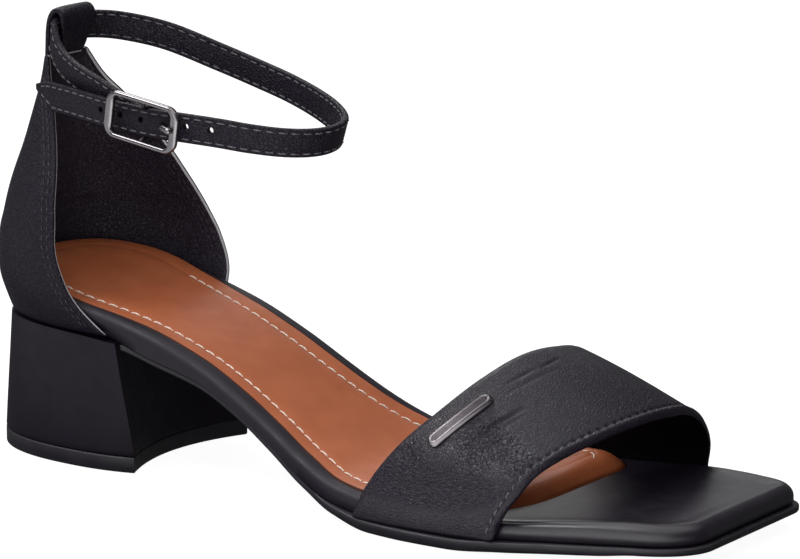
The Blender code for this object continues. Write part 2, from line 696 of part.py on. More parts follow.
def build_strap_loop():
    """A tab folded over into a tunnel: its outer leg stands on the cup, its inner leg lies inside it."""
    line = spline_points(LOOP_ROWS, 2.2)
    run = np.gradient(line, axis=0)
    run /= np.linalg.norm(run, axis=1)[:, None]
    aside = np.column_stack((-run[:, 1], run[:, 0])) * LOOP_WALL / 2
    base = LOOP_ROWS[0].z
    half, power = float(CUP["half"](base)), float(CUP["power"](base))
    back, front = float(CUP["back"](base)), float(CUP["lateral"](base))
    medial = np.interp(line[:, 1], LOOP_TAPER, LOOP_MEDIAL)
    rings = []
    for share in np.linspace(0.0, 1.0, 9):
        across = LOOP_LATERAL + share * (medial - LOOP_LATERAL)
        bow = (front - back) * (1 - (1 - (np.abs(across) / half) ** power) ** (1 / power))
        middle = line + np.column_stack((back + bow, np.zeros(len(line))))
        section = np.vstack((middle + aside, (middle - aside)[::-1]))
        across = np.concatenate((across, across[::-1]))
        rings.append(np.column_stack((section[:, 0], across, section[:, 1])))
    return sweep_object("strap_loop", rings, LEATHER_BLACK)


# Ankle strap

def buckle_frame_axes():
    """The buckle's place: centre, direction towards the toe, direction up the strap, outward."""
    ahead = RING_ROWS[-1]
    behind = FREE_ROWS[0]
    centre = np.array(BUCKLE_ROW[:3])
    forward = np.array(ahead[:3]) - np.array(behind[:3])
    forward /= np.linalg.norm(forward)
    upward = np.array((0.0, 0.0, 1.0)) - forward[2] * forward
    upward /= np.linalg.norm(upward)
    outward = np.cross(forward, upward)
    return centre, forward, upward, outward


def at_buckle(run, rise, out):
    centre, forward, upward, outward = buckle_frame_axes()
    return centre + forward * run + upward * rise + outward * out


def bar_depth():
    """How far the centre bar lies behind the free strap's middle."""
    return STRAP_THICK / 2 + SEAT_GAP + STRAP_THICK + SEAT_GAP + CENTRE_BAR


def strap_route():
    """Centre line from the folded end behind the buckle to the free tip, with the lean at each point."""
    depth = bar_depth()
    turn_radius = CENTRE_BAR + SEAT_GAP + STRAP_THICK / 2
    behind = -depth - turn_radius
    fold = [at_buckle(-FOLD_RETURN, 0, behind), at_buckle(-FOLD_RETURN / 2, 0, behind)]
    for turn in np.radians(np.linspace(-90, 90, 7)):
        fold.append(at_buckle(turn_radius * cos(turn), 0, -depth + turn_radius * sin(turn)))
    fold.append(at_buckle(-FOLD_RUN, 0, -depth + turn_radius))
    fold_rows = [(*point, 0.0) for point in fold]
    smooth_rows = [fold_rows[-1], *FIXED_ROWS, *RING_ROWS, BUCKLE_ROW, *FREE_ROWS]
    smooth = spline_points(smooth_rows, STRAP_STEP)
    return np.vstack((np.array(fold_rows[:-1]), smooth))


def strap_frames(route):
    """Position, width direction and direction towards the leg at each point of the strap."""
    points = route[:, :3]
    run = np.gradient(points, axis=0)
    run /= np.linalg.norm(run, axis=1)[:, None]
    frames = []
    for point, along, lean in zip(points, run, np.radians(route[:, 3])):
        upright = np.array((0.0, 0.0, 1.0)) - along[2] * along
        upright /= np.linalg.norm(upright)
        inward = np.cross(along, upright)
        upward = upright * cos(lean) + inward * sin(lean)
        frames.append((point, upward, np.cross(along, upward)))
    return frames


def strap_length(route):
    return np.concatenate(([0.0], np.cumsum(np.linalg.norm(np.diff(route[:, :3], axis=0), axis=1))))


def build_strap():
    route = strap_route()
    travelled = strap_length(route)
    to_tip = travelled[-1] - travelled
    rings = []
    for left, (point, upward, inward) in zip(to_tip, strap_frames(route)):
        share = min(left / TIP_CUT, 1.0)
        width = TIP_WIDTH + (STRAP_WIDTH - TIP_WIDTH) * share ** TIP_POWER
        high, thick, edge = STRAP_WIDTH / 2, STRAP_THICK / 2, STRAP_EDGE
        high -= TIP_DROP * (1 - share) ** 2
        low = max(high - width, -STRAP_WIDTH / 2)
        section = [(low, edge - thick), (low + edge, -thick), (high - edge, -thick), (high, edge - thick)]
        section += [(u, -n) for u, n in reversed(section)]
        rings.append([point + upward * u + inward * n for u, n in section])
    strap = sweep_object("ankle_strap", rings, LEATHER_BLACK)
    for cutter in strap_cutters(route):
        boolean(strap, cutter, "DIFFERENCE")
    return strap


def strap_cutters(route):
    """Round holes through the free end, and the slot for the prong in the folded end."""
    travelled = strap_length(route)
    frames = strap_frames(route)
    at_row = np.all(np.isclose(route, BUCKLE_ROW), axis=1)
    prong_hole = travelled[np.flatnonzero(at_row)[0]] - PRONG_RUN
    cutters = []
    for k in HOLE_PLACES:
        along = prong_hole + HOLE_PITCH * k
        place = np.array([np.interp(along, travelled, route[:, axis]) for axis in range(3)])
        _, upward, inward = frames[int(np.searchsorted(travelled, along))]
        radius = HOLE_RADIUS if k else PRONG_RADIUS + PRONG_ROOM
        rise = HOLE_RISE if k else 0.0
        cutters.append(add_peg(place + upward * rise, inward, radius, 2 * STRAP_THICK))
    cutters.append(add_slot())
    return cutters


def add_peg(place, direction, radius, length):
    bpy.ops.mesh.primitive_cylinder_add(vertices=10, radius=radius * MM, depth=length * MM)
    peg = bpy.context.object
    peg.name = "hole_cutter"
    turn = Vector((0, 0, 1)).rotation_difference(Vector(direction)).to_matrix().to_4x4()
    peg.matrix_world = Matrix.Translation((Vector(place) - ORIGIN) * MM) @ turn
    hide_cutter(peg)
    return peg


def add_slot():
    """A block that clears the prong through the fold in front of the centre bar."""
    bpy.ops.mesh.primitive_cube_add(size=1.0)
    slot = bpy.context.object
    slot.name = "slot_cutter"
    _, forward, upward, outward = buckle_frame_axes()
    depth = bar_depth()
    low, high = -depth - SLOT_DEPTH, -STRAP_THICK / 2 - SLOT_LEFT
    middle = at_buckle(SLOT_MIDDLE, 0, (low + high) / 2)
    turn = Matrix((forward, upward, outward)).transposed().to_4x4()
    size = Matrix.Diagonal((SLOT_LENGTH * MM, SLOT_WIDTH * MM, (high - low) * MM, 1.0))
    slot.matrix_world = Matrix.Translation((Vector(middle) - ORIGIN) * MM) @ turn @ size
    hide_cutter(slot)
    return slot


def hide_cutter(item):
    item.hide_render = True
    item.display_type = "WIRE"
    for collection in list(item.users_collection):
        collection.objects.unlink(item)
    CUTTERS.objects.link(item)


# Buckle

def build_buckle():
    """A rounded rectangle of round wire over the strap, with a dropped centre bar under it."""
    out = STRAP_THICK / 2 + SEAT_GAP + BUCKLE_WIRE
    half_run = BUCKLE_LENGTH / 2 - BUCKLE_WIRE
    half_rise = BUCKLE_HEIGHT / 2 - BUCKLE_WIRE
    corner = BUCKLE_CORNER - BUCKLE_WIRE
    loop = []
    for quarter, (sx, sy) in enumerate(((1, 1), (-1, 1), (-1, -1), (1, -1))):
        for turn in np.radians(np.linspace(0, 90, 5)) + quarter * pi / 2:
            run = sx * (half_run - corner) + corner * cos(turn)
            rise = sy * (half_rise - corner) + corner * sin(turn)
            loop.append(at_buckle(run, rise, out))
    frame = wire_object("buckle_frame", loop, BUCKLE_WIRE, METAL, cyclic=True, sides=2)
    depth = -bar_depth()
    leg = STRAP_WIDTH / 2 + SEAT_GAP + CENTRE_BAR
    half_bar = [(leg, out), (leg, depth + BAR_CORNER), (leg - BAR_CORNER, depth)]
    bar = [at_buckle(0, rise, at) for rise, at in half_bar]
    bar += [at_buckle(0, -rise, at) for rise, at in reversed(half_bar)]
    boolean(frame, wire_object("centre_bar", bar, CENTRE_BAR, METAL), "UNION")
    return frame


def build_prong():
    """A pin hooked round the centre bar, up through the strap's hole and onto the front bar."""
    depth = -bar_depth()
    wrap = CENTRE_BAR + SEAT_GAP + PRONG_RADIUS
    turns = np.radians(PRONG_HOOK)
    run_and_out = [(wrap * cos(turn), depth + wrap * sin(turn)) for turn in turns]
    run_and_out += [(PRONG_RUN + run, out) for run, out in PRONG_STEM]
    top = STRAP_THICK / 2 + SEAT_GAP + 2 * BUCKLE_WIRE + SEAT_GAP + PRONG_RADIUS
    bar_run = BUCKLE_LENGTH / 2 - BUCKLE_WIRE
    run_and_out += [(bar_run - PRONG_REST, top), (bar_run + PRONG_PAST, top)]
    route = [at_buckle(run, 0, out) for run, out in run_and_out]
    return wire_object("buckle_prong", route, PRONG_RADIUS, METAL, sides=2)


ORIGIN = Vector((CENTRE_X, CENTRE_Y, 0.0))
clear_scene()
PARTS = make_collection("ankle_strap_sandal")
CUTTERS = make_collection("cutters")
ROOT = bpy.data.objects.new("sandal", None)
PARTS.objects.link(ROOT)
ROOT.location = -ORIGIN * MM

LEATHER_BLACK = make_material("black leather", (0.018, 0.017, 0.020), 0.48)
WRAP = make_material("black leather wrap", (0.020, 0.019, 0.022), 0.36)
HEEL_BLACK = make_material("black heel cover", (0.016, 0.015, 0.018), 0.42)
RUBBER = make_material("black sole rubber", (0.014, 0.014, 0.015), 0.6)
TAN = make_material("tan insole leather", (0.38, 0.13, 0.06), 0.42)
METAL = make_material("gunmetal", (0.30, 0.28, 0.29), 0.32, 1.0)

build_outsole()
build_footbed()
build_insole()
build_heel()
build_heel_cup()
build_vamp()
build_vamp_bar()
build_strap_loop()
build_strap()
build_buckle()
build_prong()
bpy.context.view_layer.update()
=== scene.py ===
"""Looks of the block-heel ankle-strap sandal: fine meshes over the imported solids, stitches, materials.

Sizes are millimetres in the shoe's own layout (x forward from the heel, y to the inner side, z up);
making a piece moves them to the frame's origin and turns them into metres.
"""
from collections import namedtuple
from math import cos, pi, radians, sin

import bmesh
import bpy
import numpy as np
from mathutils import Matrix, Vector


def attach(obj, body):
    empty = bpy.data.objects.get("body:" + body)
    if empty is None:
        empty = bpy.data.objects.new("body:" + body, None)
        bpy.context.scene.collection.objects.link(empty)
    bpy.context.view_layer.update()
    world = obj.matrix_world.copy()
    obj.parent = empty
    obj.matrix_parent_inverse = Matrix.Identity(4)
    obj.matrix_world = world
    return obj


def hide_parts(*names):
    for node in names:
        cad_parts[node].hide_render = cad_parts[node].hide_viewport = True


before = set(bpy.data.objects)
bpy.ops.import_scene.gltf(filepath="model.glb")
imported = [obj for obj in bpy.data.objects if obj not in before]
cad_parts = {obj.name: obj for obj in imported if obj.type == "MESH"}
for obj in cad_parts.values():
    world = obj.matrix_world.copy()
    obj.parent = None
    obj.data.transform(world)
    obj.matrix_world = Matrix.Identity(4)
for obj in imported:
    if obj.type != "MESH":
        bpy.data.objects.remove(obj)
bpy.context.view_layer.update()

MM = 0.001
UP = np.array((0.0, 0.0, 1.0))
SIDES = {"lateral": -1, "medial": 1}  # each side's direction along y

# Overall layout
CENTRE = np.array((117.21, 1.26, 0.0))  # middle of the shoe's length and width, moved to the origin
SEAT_GAP = 0.3  # clearance between pieces that meet
LEATHER = 1.8  # wall of the heel cup and the vamp band

# Footbed and outsole
HEEL_BACK = -0.9  # rear of the footbed
HEEL_ROUND_X = 38.0  # where the round heel end meets the sides
HEEL_POWER = 2.5  # superellipse power of the heel end
TOE_FRONT = 236.9  # straight front edge of the square toe
TOE_CORNER = {"lateral": (13.4, 10.0), "medial": (9.5, 7.0)}  # length and turn-in of each corner
TOE_POWER = 2.2
FOOTBED_EDGE = 2.8  # radius of the footbed's rounded top edge
TOE_EDGE = 3.6  # the same at the toe, where the edge is softer
TOE_EDGE_RUN = (186.0, 216.0)  # stretch along x where it widens
HEEL_TUCK = 3.0  # how far the footbed's lower edge draws in above the heel
TUCK_END = (46.0, 57.0)  # stretch along x where that tuck dies out
OUTSOLE_BACK = 51.0  # rear end of the outsole, at the heel breast

# Insole pad
PAD_SUNK = 1.2  # how far the pad is let into the footbed
PAD_EDGE = 0.35  # rounding of its upper edge where it is thin
PAD_EDGE_SHARE = 0.5  # share of its height above the footbed that the rounding takes as well
RECESS_CUT = 5.0  # height of the cutter for its recess above the footbed
PAD_FRONT = 184.3
PAD_CORNER = {"lateral": (24.0, 30.0), "medial": (17.0, 16.0)}

# Heel block and top lift
LIFT_HEIGHT = 4.6
HEEL_CORNER_POWER = 2.5
BREAST_DEPTH = 6.4  # hollow of the heel breast

# Strap loop
LOOP_WALL = 1.5
LOOP_LATERAL = -8.6  # its lateral end
LOOP_MEDIAL = (4.0, 7.0)  # its medial end, low down and at the fold
LOOP_TAPER = (118.0, 124.0)  # heights between which the medial end widens

# Ankle strap and buckle
STRAP_WIDTH = 8.2
TIP_CUT = 10.0  # length of the slanted cut that shapes the free end
TIP_WIDTH = 2.0  # width left at its point
TIP_POWER = 0.8  # fullness of the cut
TIP_DROP = 0.8  # how far the upper corner is rounded off
STRAP_THICK = 1.9
FOLD_RETURN = 9.0  # length of the strap's end turned back behind the centre bar
FOLD_RUN = 5.0  # straight run of the strap next to the centre bar
HOLE_RADIUS = 0.9
HOLE_PITCH = 7.5
HOLE_PLACES = range(-2, 4)  # in pitches from the hole that the prong stands in
HOLE_RISE = 0.6  # how far the holes lie above the strap's middle
BUCKLE_LENGTH = 25.4
BUCKLE_HEIGHT = 13.6
BUCKLE_WIRE = 1.2  # radius of the buckle's wire
BUCKLE_CORNER = 4.0
CENTRE_BAR = 0.6  # radius of the centre bar
PRONG_RADIUS = 0.8
PRONG_RUN = 5.9  # from the centre bar to the hole that the prong stands in
PRONG_FULL = 0.95  # radius with its plating, and the hole's clearance where the leather hugs it
PRONG_SEAT = 0.05
PRONG_HOOK = (90, 65, 40)  # turns of its hook round the centre bar
PRONG_STEM = [(-0.9, -2.6), (-0.1, -1.2), (0.1, 1.1), (1.6, 2.9)]  # along and out, from the hole's middle
PRONG_REST = 0.9  # where its straight end starts, behind the front bar
PRONG_PAST = 0.5  # how far its end passes that bar's middle
BAR_CORNER = 0.8  # cut across the centre bar's bends
SLOT_LENGTH = 7.0  # of the slit that lets the prong through the folded end
SLOT_MIDDLE = 2.0  # its place ahead of the centre bar
SLOT_WIDTH = 2 * PRONG_RADIUS + 1.0
SLOT_DEPTH = 1.6  # how far it reaches behind the centre bar's middle
SLOT_LEFT = 0.05  # clearance it leaves to the free strap in front

# Plain metal bar on the vamp
BAR_LENGTH = 21.2
BAR_THICK = 1.1
BAR_ACROSS = 0.333  # its middle, as a share of the way over the band
BAR_ALONG = 0.212  # its distance from the band's rear edge, as a share of the band's width
BAR_SPAN = 0.105  # trial half span, scaled to the bar's real length


def table(fields, *rows):
    """Rows of numbers with named columns."""
    named = namedtuple("Row", fields)
    return [named(*row) for row in rows]


# lateral and medial: the footbed's half widths; top and bottom: its heights; sole: the outsole's
# thickness; reach: how far the outsole stands out beyond the footbed
SOLE_ROWS = table(
    "x lateral medial top bottom sole reach",
    (-6.0, 29.2, 29.2, 54.4, 40.1, 1.8, -1.5),
    (6.0, 29.2, 29.2, 54.0, 40.0, 1.8, -1.5),
    (18.0, 29.2, 29.2, 52.4, 39.7, 1.8, -1.5),
    (30.0, 29.2, 29.2, 49.7, 39.2, 1.8, -1.5),
    (38.0, 29.2, 29.2, 47.6, 38.7, 1.8, -1.5),
    (50.0, 28.4, 28.6, 44.7, 37.4, 1.8, -1.5),
    (62.0, 27.9, 27.8, 41.4, 34.2, 1.8, -1.5),
    (78.0, 27.5, 26.8, 35.3, 29.8, 1.8, -1.5),
    (91.0, 28.3, 26.5, 29.1, 24.0, 1.8, -1.3),
    (104.0, 30.0, 27.3, 22.3, 17.0, 2.0, -0.9),
    (118.0, 33.0, 30.3, 15.3, 9.4, 2.2, -0.6),
    (130.0, 35.2, 33.9, 10.8, 5.3, 2.6, 0.8),
    (145.0, 36.8, 37.2, 8.8, 3.5, 3.2, 2.5),
    (158.0, 37.5, 39.4, 8.6, 3.5, 3.2, 3.0),
    (170.0, 37.3, 40.2, 8.6, 3.5, 3.2, 2.9),
    (186.0, 36.2, 40.4, 9.5, 4.5, 3.0, 2.0),
    (201.0, 34.0, 39.8, 11.1, 5.6, 2.8, 1.3),
    (213.0, 31.3, 38.4, 12.1, 6.3, 2.6, 1.2),
    (223.0, 28.6, 37.0, 12.4, 6.8, 2.1, 1.0),
    (240.0, 23.4, 34.6, 12.4, 7.2, 2.0, 1.7),
)

# lateral and medial: margins of footbed left bare beside the pad; proud: its height above the footbed
PAD_ROWS = table(
    "x lateral medial proud",
    (-6.0, 1.0, 1.0, 0.2),
    (24.0, 1.0, 1.0, 0.2),
    (43.0, 3.0, 3.6, 0.2),
    (62.0, 4.6, 5.3, 0.2),
    (95.0, 5.2, 5.2, 0.2),
    (118.0, 4.7, 4.7, 0.3),
    (135.0, 3.4, 3.8, 0.5),
    (150.0, 3.4, 2.4, 1.6),
    (165.0, 3.4, 2.0, 3.2),
    (176.0, 3.0, 2.2, 3.9),
    (184.0, 3.0, 3.0, 3.8),
)

# rise: share of the heel's height; back and front: its ends along x; half: its widest half width;
# corner: its half width at the breast
HEEL_ROWS = table(
    "rise back front half corner",
    (0.0, -4.2, 55.3, 29.6, 26.8),
    (0.15, -3.9, 54.6, 29.2, 26.9),
    (0.4, -3.2, 53.0, 28.7, 27.1),
    (0.7, -2.1, 51.2, 28.5, 27.5),
    (1.0, -0.9, 49.7, 28.6, 27.9),
)

# back: the outer wall's rear along x; lateral and medial: its cut edges along x on the two sides;
# half: half width at the cut edges; power: superellipse power of the plan
CUP_ROWS = table(
    "z back lateral medial half power",
    (39.0, -0.2, 46.5, 46.2, 29.4, 2.6),
    (43.0, -1.4, 42.7, 45.0, 31.2, 2.5),
    (47.0, -2.7, 39.4, 44.5, 32.7, 2.4),
    (52.0, -3.5, 36.3, 43.0, 33.7, 2.4),
    (58.0, -3.8, 33.6, 40.4, 33.9, 2.3),
    (64.0, -3.3, 31.5, 37.4, 33.1, 2.3),
    (70.0, -2.3, 30.3, 34.6, 31.4, 2.25),
    (76.0, -1.1, 28.6, 31.8, 29.1, 2.25),
    (82.0, 0.4, 27.1, 29.2, 26.4, 2.25),
    (88.0, 2.1, 24.9, 26.5, 23.3, 2.25),
    (94.0, 3.8, 22.2, 23.1, 20.2, 2.25),
    (100.0, 5.7, 19.2, 18.4, 17.0, 2.25),
    (106.0, 7.5, 15.2, 14.1, 13.2, 2.25),
    (113.0, 9.0, 12.0, 11.0, 10.0, 2.25),
)
CUP_DROP = 1.4  # how much higher the cup's lower edge lies at the back than at the front

# the band's rear and front edges from the lateral sole line, over the foot, to the medial one
VAMP_ROWS = table(
    "across x_rear y_rear z_rear x_front y_front z_front",
    (0.00, 139.3, -38.6, 3.9, 184.0, -38.8, 4.6),
    (0.07, 141.8, -38.6, 9.5, 186.8, -38.6, 11.0),
    (0.16, 146.2, -36.8, 17.6, 190.4, -37.0, 17.2),
    (0.25, 151.6, -32.6, 25.5, 193.4, -32.6, 22.9),
    (0.34, 158.2, -26.2, 33.0, 197.0, -25.2, 26.7),
    (0.45, 164.6, -14.0, 41.0, 201.4, -12.8, 29.8),
    (0.55, 168.6, -0.5, 45.4, 205.0, 0.5, 31.7),
    (0.65, 171.2, 12.5, 45.7, 206.8, 13.5, 31.8),
    (0.75, 171.6, 25.0, 42.5, 206.8, 26.0, 29.8),
    (0.84, 169.0, 34.6, 32.3, 206.0, 35.0, 24.5),
    (0.92, 164.0, 41.1, 18.5, 204.0, 41.4, 16.5),
    (1.00, 160.0, 42.4, 3.9, 202.0, 42.2, 6.2),
)
VAMP_CROWN = 1.2  # fullness of the band between its two edges

# the strap's centre line: x, y, z, and the degrees that its upper edge leans inward
FIXED_ROWS = [
    (50.0, -24.7, 105.3, -4.0),
    (41.0, -22.9, 108.3, -6.0),
    (32.0, -20.2, 110.6, -6.0),
    (24.0, -16.6, 113.0, -4.0),
    (17.9, -12.8, 116.4, 0.0),
    (13.6, -8.0, 120.1, 8.0),
]
RING_ROWS = [
    (12.8, 0.0, 120.5, 10.0),
    (13.6, 8.0, 120.4, 8.0),
    (19.6, 15.4, 119.4, 0.0),
    (31.0, 22.2, 116.5, 0.0),
    (46.5, 26.4, 111.3, 0.0),
    (60.0, 27.2, 107.6, -2.0),
    (73.0, 25.4, 104.8, -5.0),
    (86.0, 20.4, 102.5, -9.0),
    (97.0, 13.4, 100.9, -12.0),
    (105.2, 5.2, 99.6, -14.0),
    (108.2, -3.0, 98.9, -14.0),
    (106.9, -10.7, 98.7, -12.0),
    (101.9, -17.6, 99.2, -8.0),
    (94.0, -22.5, 100.2, -4.0),
    (85.5, -25.6, 101.3, -1.0),
    (75.0, -27.7, 102.0, 0.0),
]
BUCKLE_ROW = (62.7, -28.4, 102.3, 0.0)
FREE_ROWS = [
    (46.5, -27.2, 103.5, 0.0),
    (32.0, -23.8, 104.3, 0.0),
    (22.5, -20.4, 104.2, 0.0),
    (18.0, -18.3, 103.8, 0.0),
    (14.9, -17.0, 103.5, 0.0),
]

# centre line of the folded tab's section, x from the cup's rear at its top edge
LOOP_ROWS = table(
    "x z",
    (0.75, 113.3),
    (0.95, 117.0),
    (1.15, 120.5),
    (1.8, 123.8),
    (3.3, 126.0),
    (5.0, 126.3),
    (6.4, 124.8),
    (6.7, 121.5),
    (6.5, 118.2),
    (5.5, 115.5),
    (4.0, 113.4),
)


# Curves and grids

def smooth_curve(knots, values, limited=True):
    """A function through the values in cubic pieces; limited slopes never overshoot."""
    knots = np.asarray(knots, float)
    values = np.asarray(values, float)
    steps = np.diff(knots)
    slopes = np.diff(values) / steps
    middle = (slopes[:-1] * steps[1:] + slopes[1:] * steps[:-1]) / (steps[:-1] + steps[1:])
    if limited:
        before, after = slopes[:-1], slopes[1:]
        level = before * after <= 0
        middle = np.where(level, 0.0, 2 * before * after / np.where(level, 1.0, before + after))
    tangents = np.concatenate(([slopes[0]], middle, [slopes[-1]]))

    def value(at):
        at = np.clip(np.asarray(at, float), knots[0], knots[-1])
        i = np.clip(np.searchsorted(knots, at) - 1, 0, len(steps) - 1)
        t = (at - knots[i]) / steps[i]
        rise = t * t * (3 - 2 * t)
        lead = t * (1 - t) ** 2 * steps[i] * tangents[i]
        trail = t * t * (t - 1) * steps[i] * tangents[i + 1]
        return values[i] + (values[i + 1] - values[i]) * rise + lead + trail

    return value


def columns(rows, limited=True):
    """One smooth function per column of a table, each of its first column."""
    knots = [row[0] for row in rows]
    return {name: smooth_curve(knots, [getattr(row, name) for row in rows], limited)
            for name in rows[0]._fields[1:]}


def spline_points(points, step):
    """Points about one step apart along a smooth curve through the given ones."""
    points = np.asarray(points, float)
    ends = np.vstack((2 * points[0] - points[1], points, 2 * points[-1] - points[-2]))
    result = [points[0]]
    for i in range(1, len(ends) - 2):
        a, b, c, d = ends[i - 1:i + 3]
        pieces = max(1, round(float(np.linalg.norm((c - b)[:3])) / step))
        for k in range(1, pieces + 1):
            t = k / pieces
            bend = (2 * a - 5 * b + 4 * c - d) * t * t + (3 * b - a - 3 * c + d) * t ** 3
            result.append(0.5 * (2 * b + (c - a) * t + bend))
    return np.array(result)


def unit(vectors):
    return vectors / np.linalg.norm(vectors, axis=-1, keepdims=True)


def arc(start, end, count):
    """Evenly spread angles, given in degrees."""
    return np.radians(np.linspace(start, end, count))


def smoothstep(low, high, value):
    share = np.clip((np.asarray(value, float) - low) / (high - low), 0.0, 1.0)
    return share * share * (3 - 2 * share)


def bell(distance, reach):
    return np.exp(-(distance / reach) ** 2)


def travel(points):
    """Distance run along a line of points."""
    return np.concatenate(([0.0], np.cumsum(np.linalg.norm(np.diff(points, axis=0), axis=1))))


def resample(points, at, run=None):
    """The line's points at given distances along it."""
    run = travel(points[:, :3]) if run is None else run
    return np.column_stack([np.interp(at, run, points[:, k]) for k in range(points.shape[1])])


def even_columns(grid, cols):
    """The grid with each row's points spread evenly along it."""
    rows = []
    for row in grid:
        run = travel(row)
        rows.append(resample(row, np.linspace(0, run[-1], cols), run))
    return np.array(rows)


def row_line(grid, normals, distance, from_end=False):
    """The line at a distance from one end of each row of a grid, with the normals along it."""
    path, outward = [], []
    for row, normal in zip(grid, normals):
        run = travel(row)
        at = [run[-1] - distance if from_end else distance]
        path.append(resample(row, at, run)[0])
        outward.append(resample(normal, at, run)[0])
    return np.array(path), unit(np.array(outward))


def grid_normals(grid, towards):
    """Normals of a grid, turned so that the middle one points towards a direction."""
    normals = unit(np.cross(np.gradient(grid, axis=1), np.gradient(grid, axis=0)))
    middle = normals[normals.shape[0] // 2, normals.shape[1] // 2]
    return normals if middle @ np.array(towards) > 0 else -normals


def grid_quads(rows, cols, start=0):
    at = start + np.arange(rows * cols).reshape(rows, cols)
    quads = np.stack((at[:-1, :-1], at[:-1, 1:], at[1:, 1:], at[1:, :-1]), axis=-1)
    return quads.reshape(-1, 4).tolist()


def ring_quads(low, high):
    count = len(low)
    return [(low[i], low[(i + 1) % count], high[(i + 1) % count], high[i]) for i in range(count)]


def grid_rim(rows, cols):
    """Indices of a grid's border, in order round it."""
    rim = list(range(cols))
    rim += [r * cols + cols - 1 for r in range(1, rows)]
    rim += [(rows - 1) * cols + c for c in range(cols - 2, -1, -1)]
    rim += [r * cols for r in range(rows - 2, 0, -1)]
    return rim


# Pieces

def new_mesh(name, vertices, faces):
    """A mesh from points in the shoe's layout, with its faces turned outward."""
    mesh = bpy.data.meshes.new(name)
    mesh.from_pydata(((np.asarray(vertices, float) - CENTRE) * MM).tolist(), [], faces)
    turned = bmesh.new()
    turned.from_mesh(mesh)
    bmesh.ops.recalc_face_normals(turned, faces=turned.faces)
    turned.to_mesh(mesh)
    turned.free()
    return mesh


def shade(mesh, sharp):
    mesh.shade_smooth()
    mesh.set_sharp_from_angle(angle=radians(sharp))


def add_object(name, mesh):
    item = bpy.data.objects.new(name, mesh)
    bpy.context.scene.collection.objects.link(item)
    return item


def add_piece(name, shape, materials, node=None, sharp=60):
    """A mesh piece that rides on the shoe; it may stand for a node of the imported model."""
    vertices, faces, *indices = shape
    mesh = new_mesh(name, vertices, faces)
    for material in materials:
        mesh.materials.append(material)
    if indices:
        mesh.polygons.foreach_set("material_index", indices[0])
    shade(mesh, sharp)
    item = add_object(name, mesh)
    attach(item, "root")
    if node:
        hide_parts(node)
    return item


def rim_points(grid):
    return grid.reshape(-1, 3)[grid_rim(*grid.shape[:2])]


def cap_count(grid):
    """Number of faces in a grid."""
    rows, cols = grid.shape[:2]
    return (rows - 1) * (cols - 1)


def shell(first, rims, last):
    """Vertices and faces of a solid: two like grids as caps, then walls through the rims between them."""
    rows, cols = first.shape[:2]
    rim = grid_rim(rows, cols)
    size, around = rows * cols, len(rim)
    rings = [rim]
    for k in range(len(rims)):
        rings.append(range(2 * size + k * around, 2 * size + (k + 1) * around))
    rings.append([i + size for i in rim])
    faces = grid_quads(rows, cols) + grid_quads(rows, cols, size)
    for low, high in zip(rings, rings[1:]):
        faces += ring_quads(low, high)
    return np.vstack((first.reshape(-1, 3), last.reshape(-1, 3), *rims)), faces


def stacked(levels):
    """Vertices and faces of a solid through a stack of like grids."""
    return shell(levels[0], [rim_points(level) for level in levels[1:-1]], levels[-1])


RIM_TURNS = np.radians((30, 60, 90, 120, 150))  # steps round the rounded rim of a leather wall


def walled(outer, inner, roundness, rim_slots):
    """Vertices, faces and material indices of a wall between two like grids, with a rounded rim."""
    away = np.zeros_like(outer)
    away[0] = unit(outer[0] - outer[1])
    away[-1] = unit(outer[-1] - outer[-2])
    away[:, 0] = unit(outer[:, 0] - outer[:, 1])
    away[:, -1] = unit(outer[:, -1] - outer[:, -2])
    far, near, out = (rim_points(grid) for grid in (outer, inner, away))
    middle, half = (far + near) / 2, (far - near) / 2
    reach = np.linalg.norm(half, axis=1, keepdims=True) * roundness
    rims = [middle + half * cos(turn) + out * reach * sin(turn) for turn in RIM_TURNS]
    indices = [0] * cap_count(outer) + [1] * cap_count(inner)
    for slot in rim_slots:
        indices += [slot] * len(out)
    return *shell(outer, rims, inner), indices


def swept(rings, closed=False):
    """Vertices and faces of a solid through rings of points, with flat ends or closed on itself."""
    rings = np.asarray(rings, float)
    total, count = rings.shape[:2]
    faces = []
    if not closed:
        faces = [tuple(range(count)), tuple(range((total - 1) * count, total * count))]
    for k in range(total if closed else total - 1):
        after = (k + 1) % total
        faces += ring_quads(range(k * count, (k + 1) * count), range(after * count, (after + 1) * count))
    return rings.reshape(-1, 3), faces


ROUND_SIDES = 20  # sides of the wires and holes that show most
SKEW = UP + 0.31  # a direction that no wire runs in
TIP_LEAST = 0.12  # share of its radius that a wire keeps at a rounded end


def tube(points, radius, sides=16, tip=0.0):
    """Vertices and faces of a round wire along the points; tip rounds its ends off."""
    points = np.asarray(points, float)
    run = travel(points)
    along = unit(np.gradient(points, axis=0))
    across = np.cross(along[0], SKEW)
    turns = np.linspace(0, 2 * pi, sides, endpoint=False)[:, None]
    rings = []
    for k, point in enumerate(points):
        across = unit(across - along[k] * np.dot(across, along[k]))
        beside = np.cross(along[k], across)
        from_end = min(run[k], run[-1] - run[k])
        size = radius
        if tip and from_end < tip:
            size = radius * max(TIP_LEAST, (1 - (1 - from_end / tip) ** 2) ** 0.5)
        rings.append(point + size * (np.cos(turns) * across + np.sin(turns) * beside))
    return swept(rings)


Thread = namedtuple("Thread", "pitch length radius lift slant")
# distance between stitches, length and radius of one, its rise above the leather, its slant
STITCH_STEPS = 7  # points along a stitch, and round it
STITCH_SIDES = 6
STITCH_BOW = 0.6  # fullness of its bend
STITCH_END = 0.6  # share of its radius at its ends


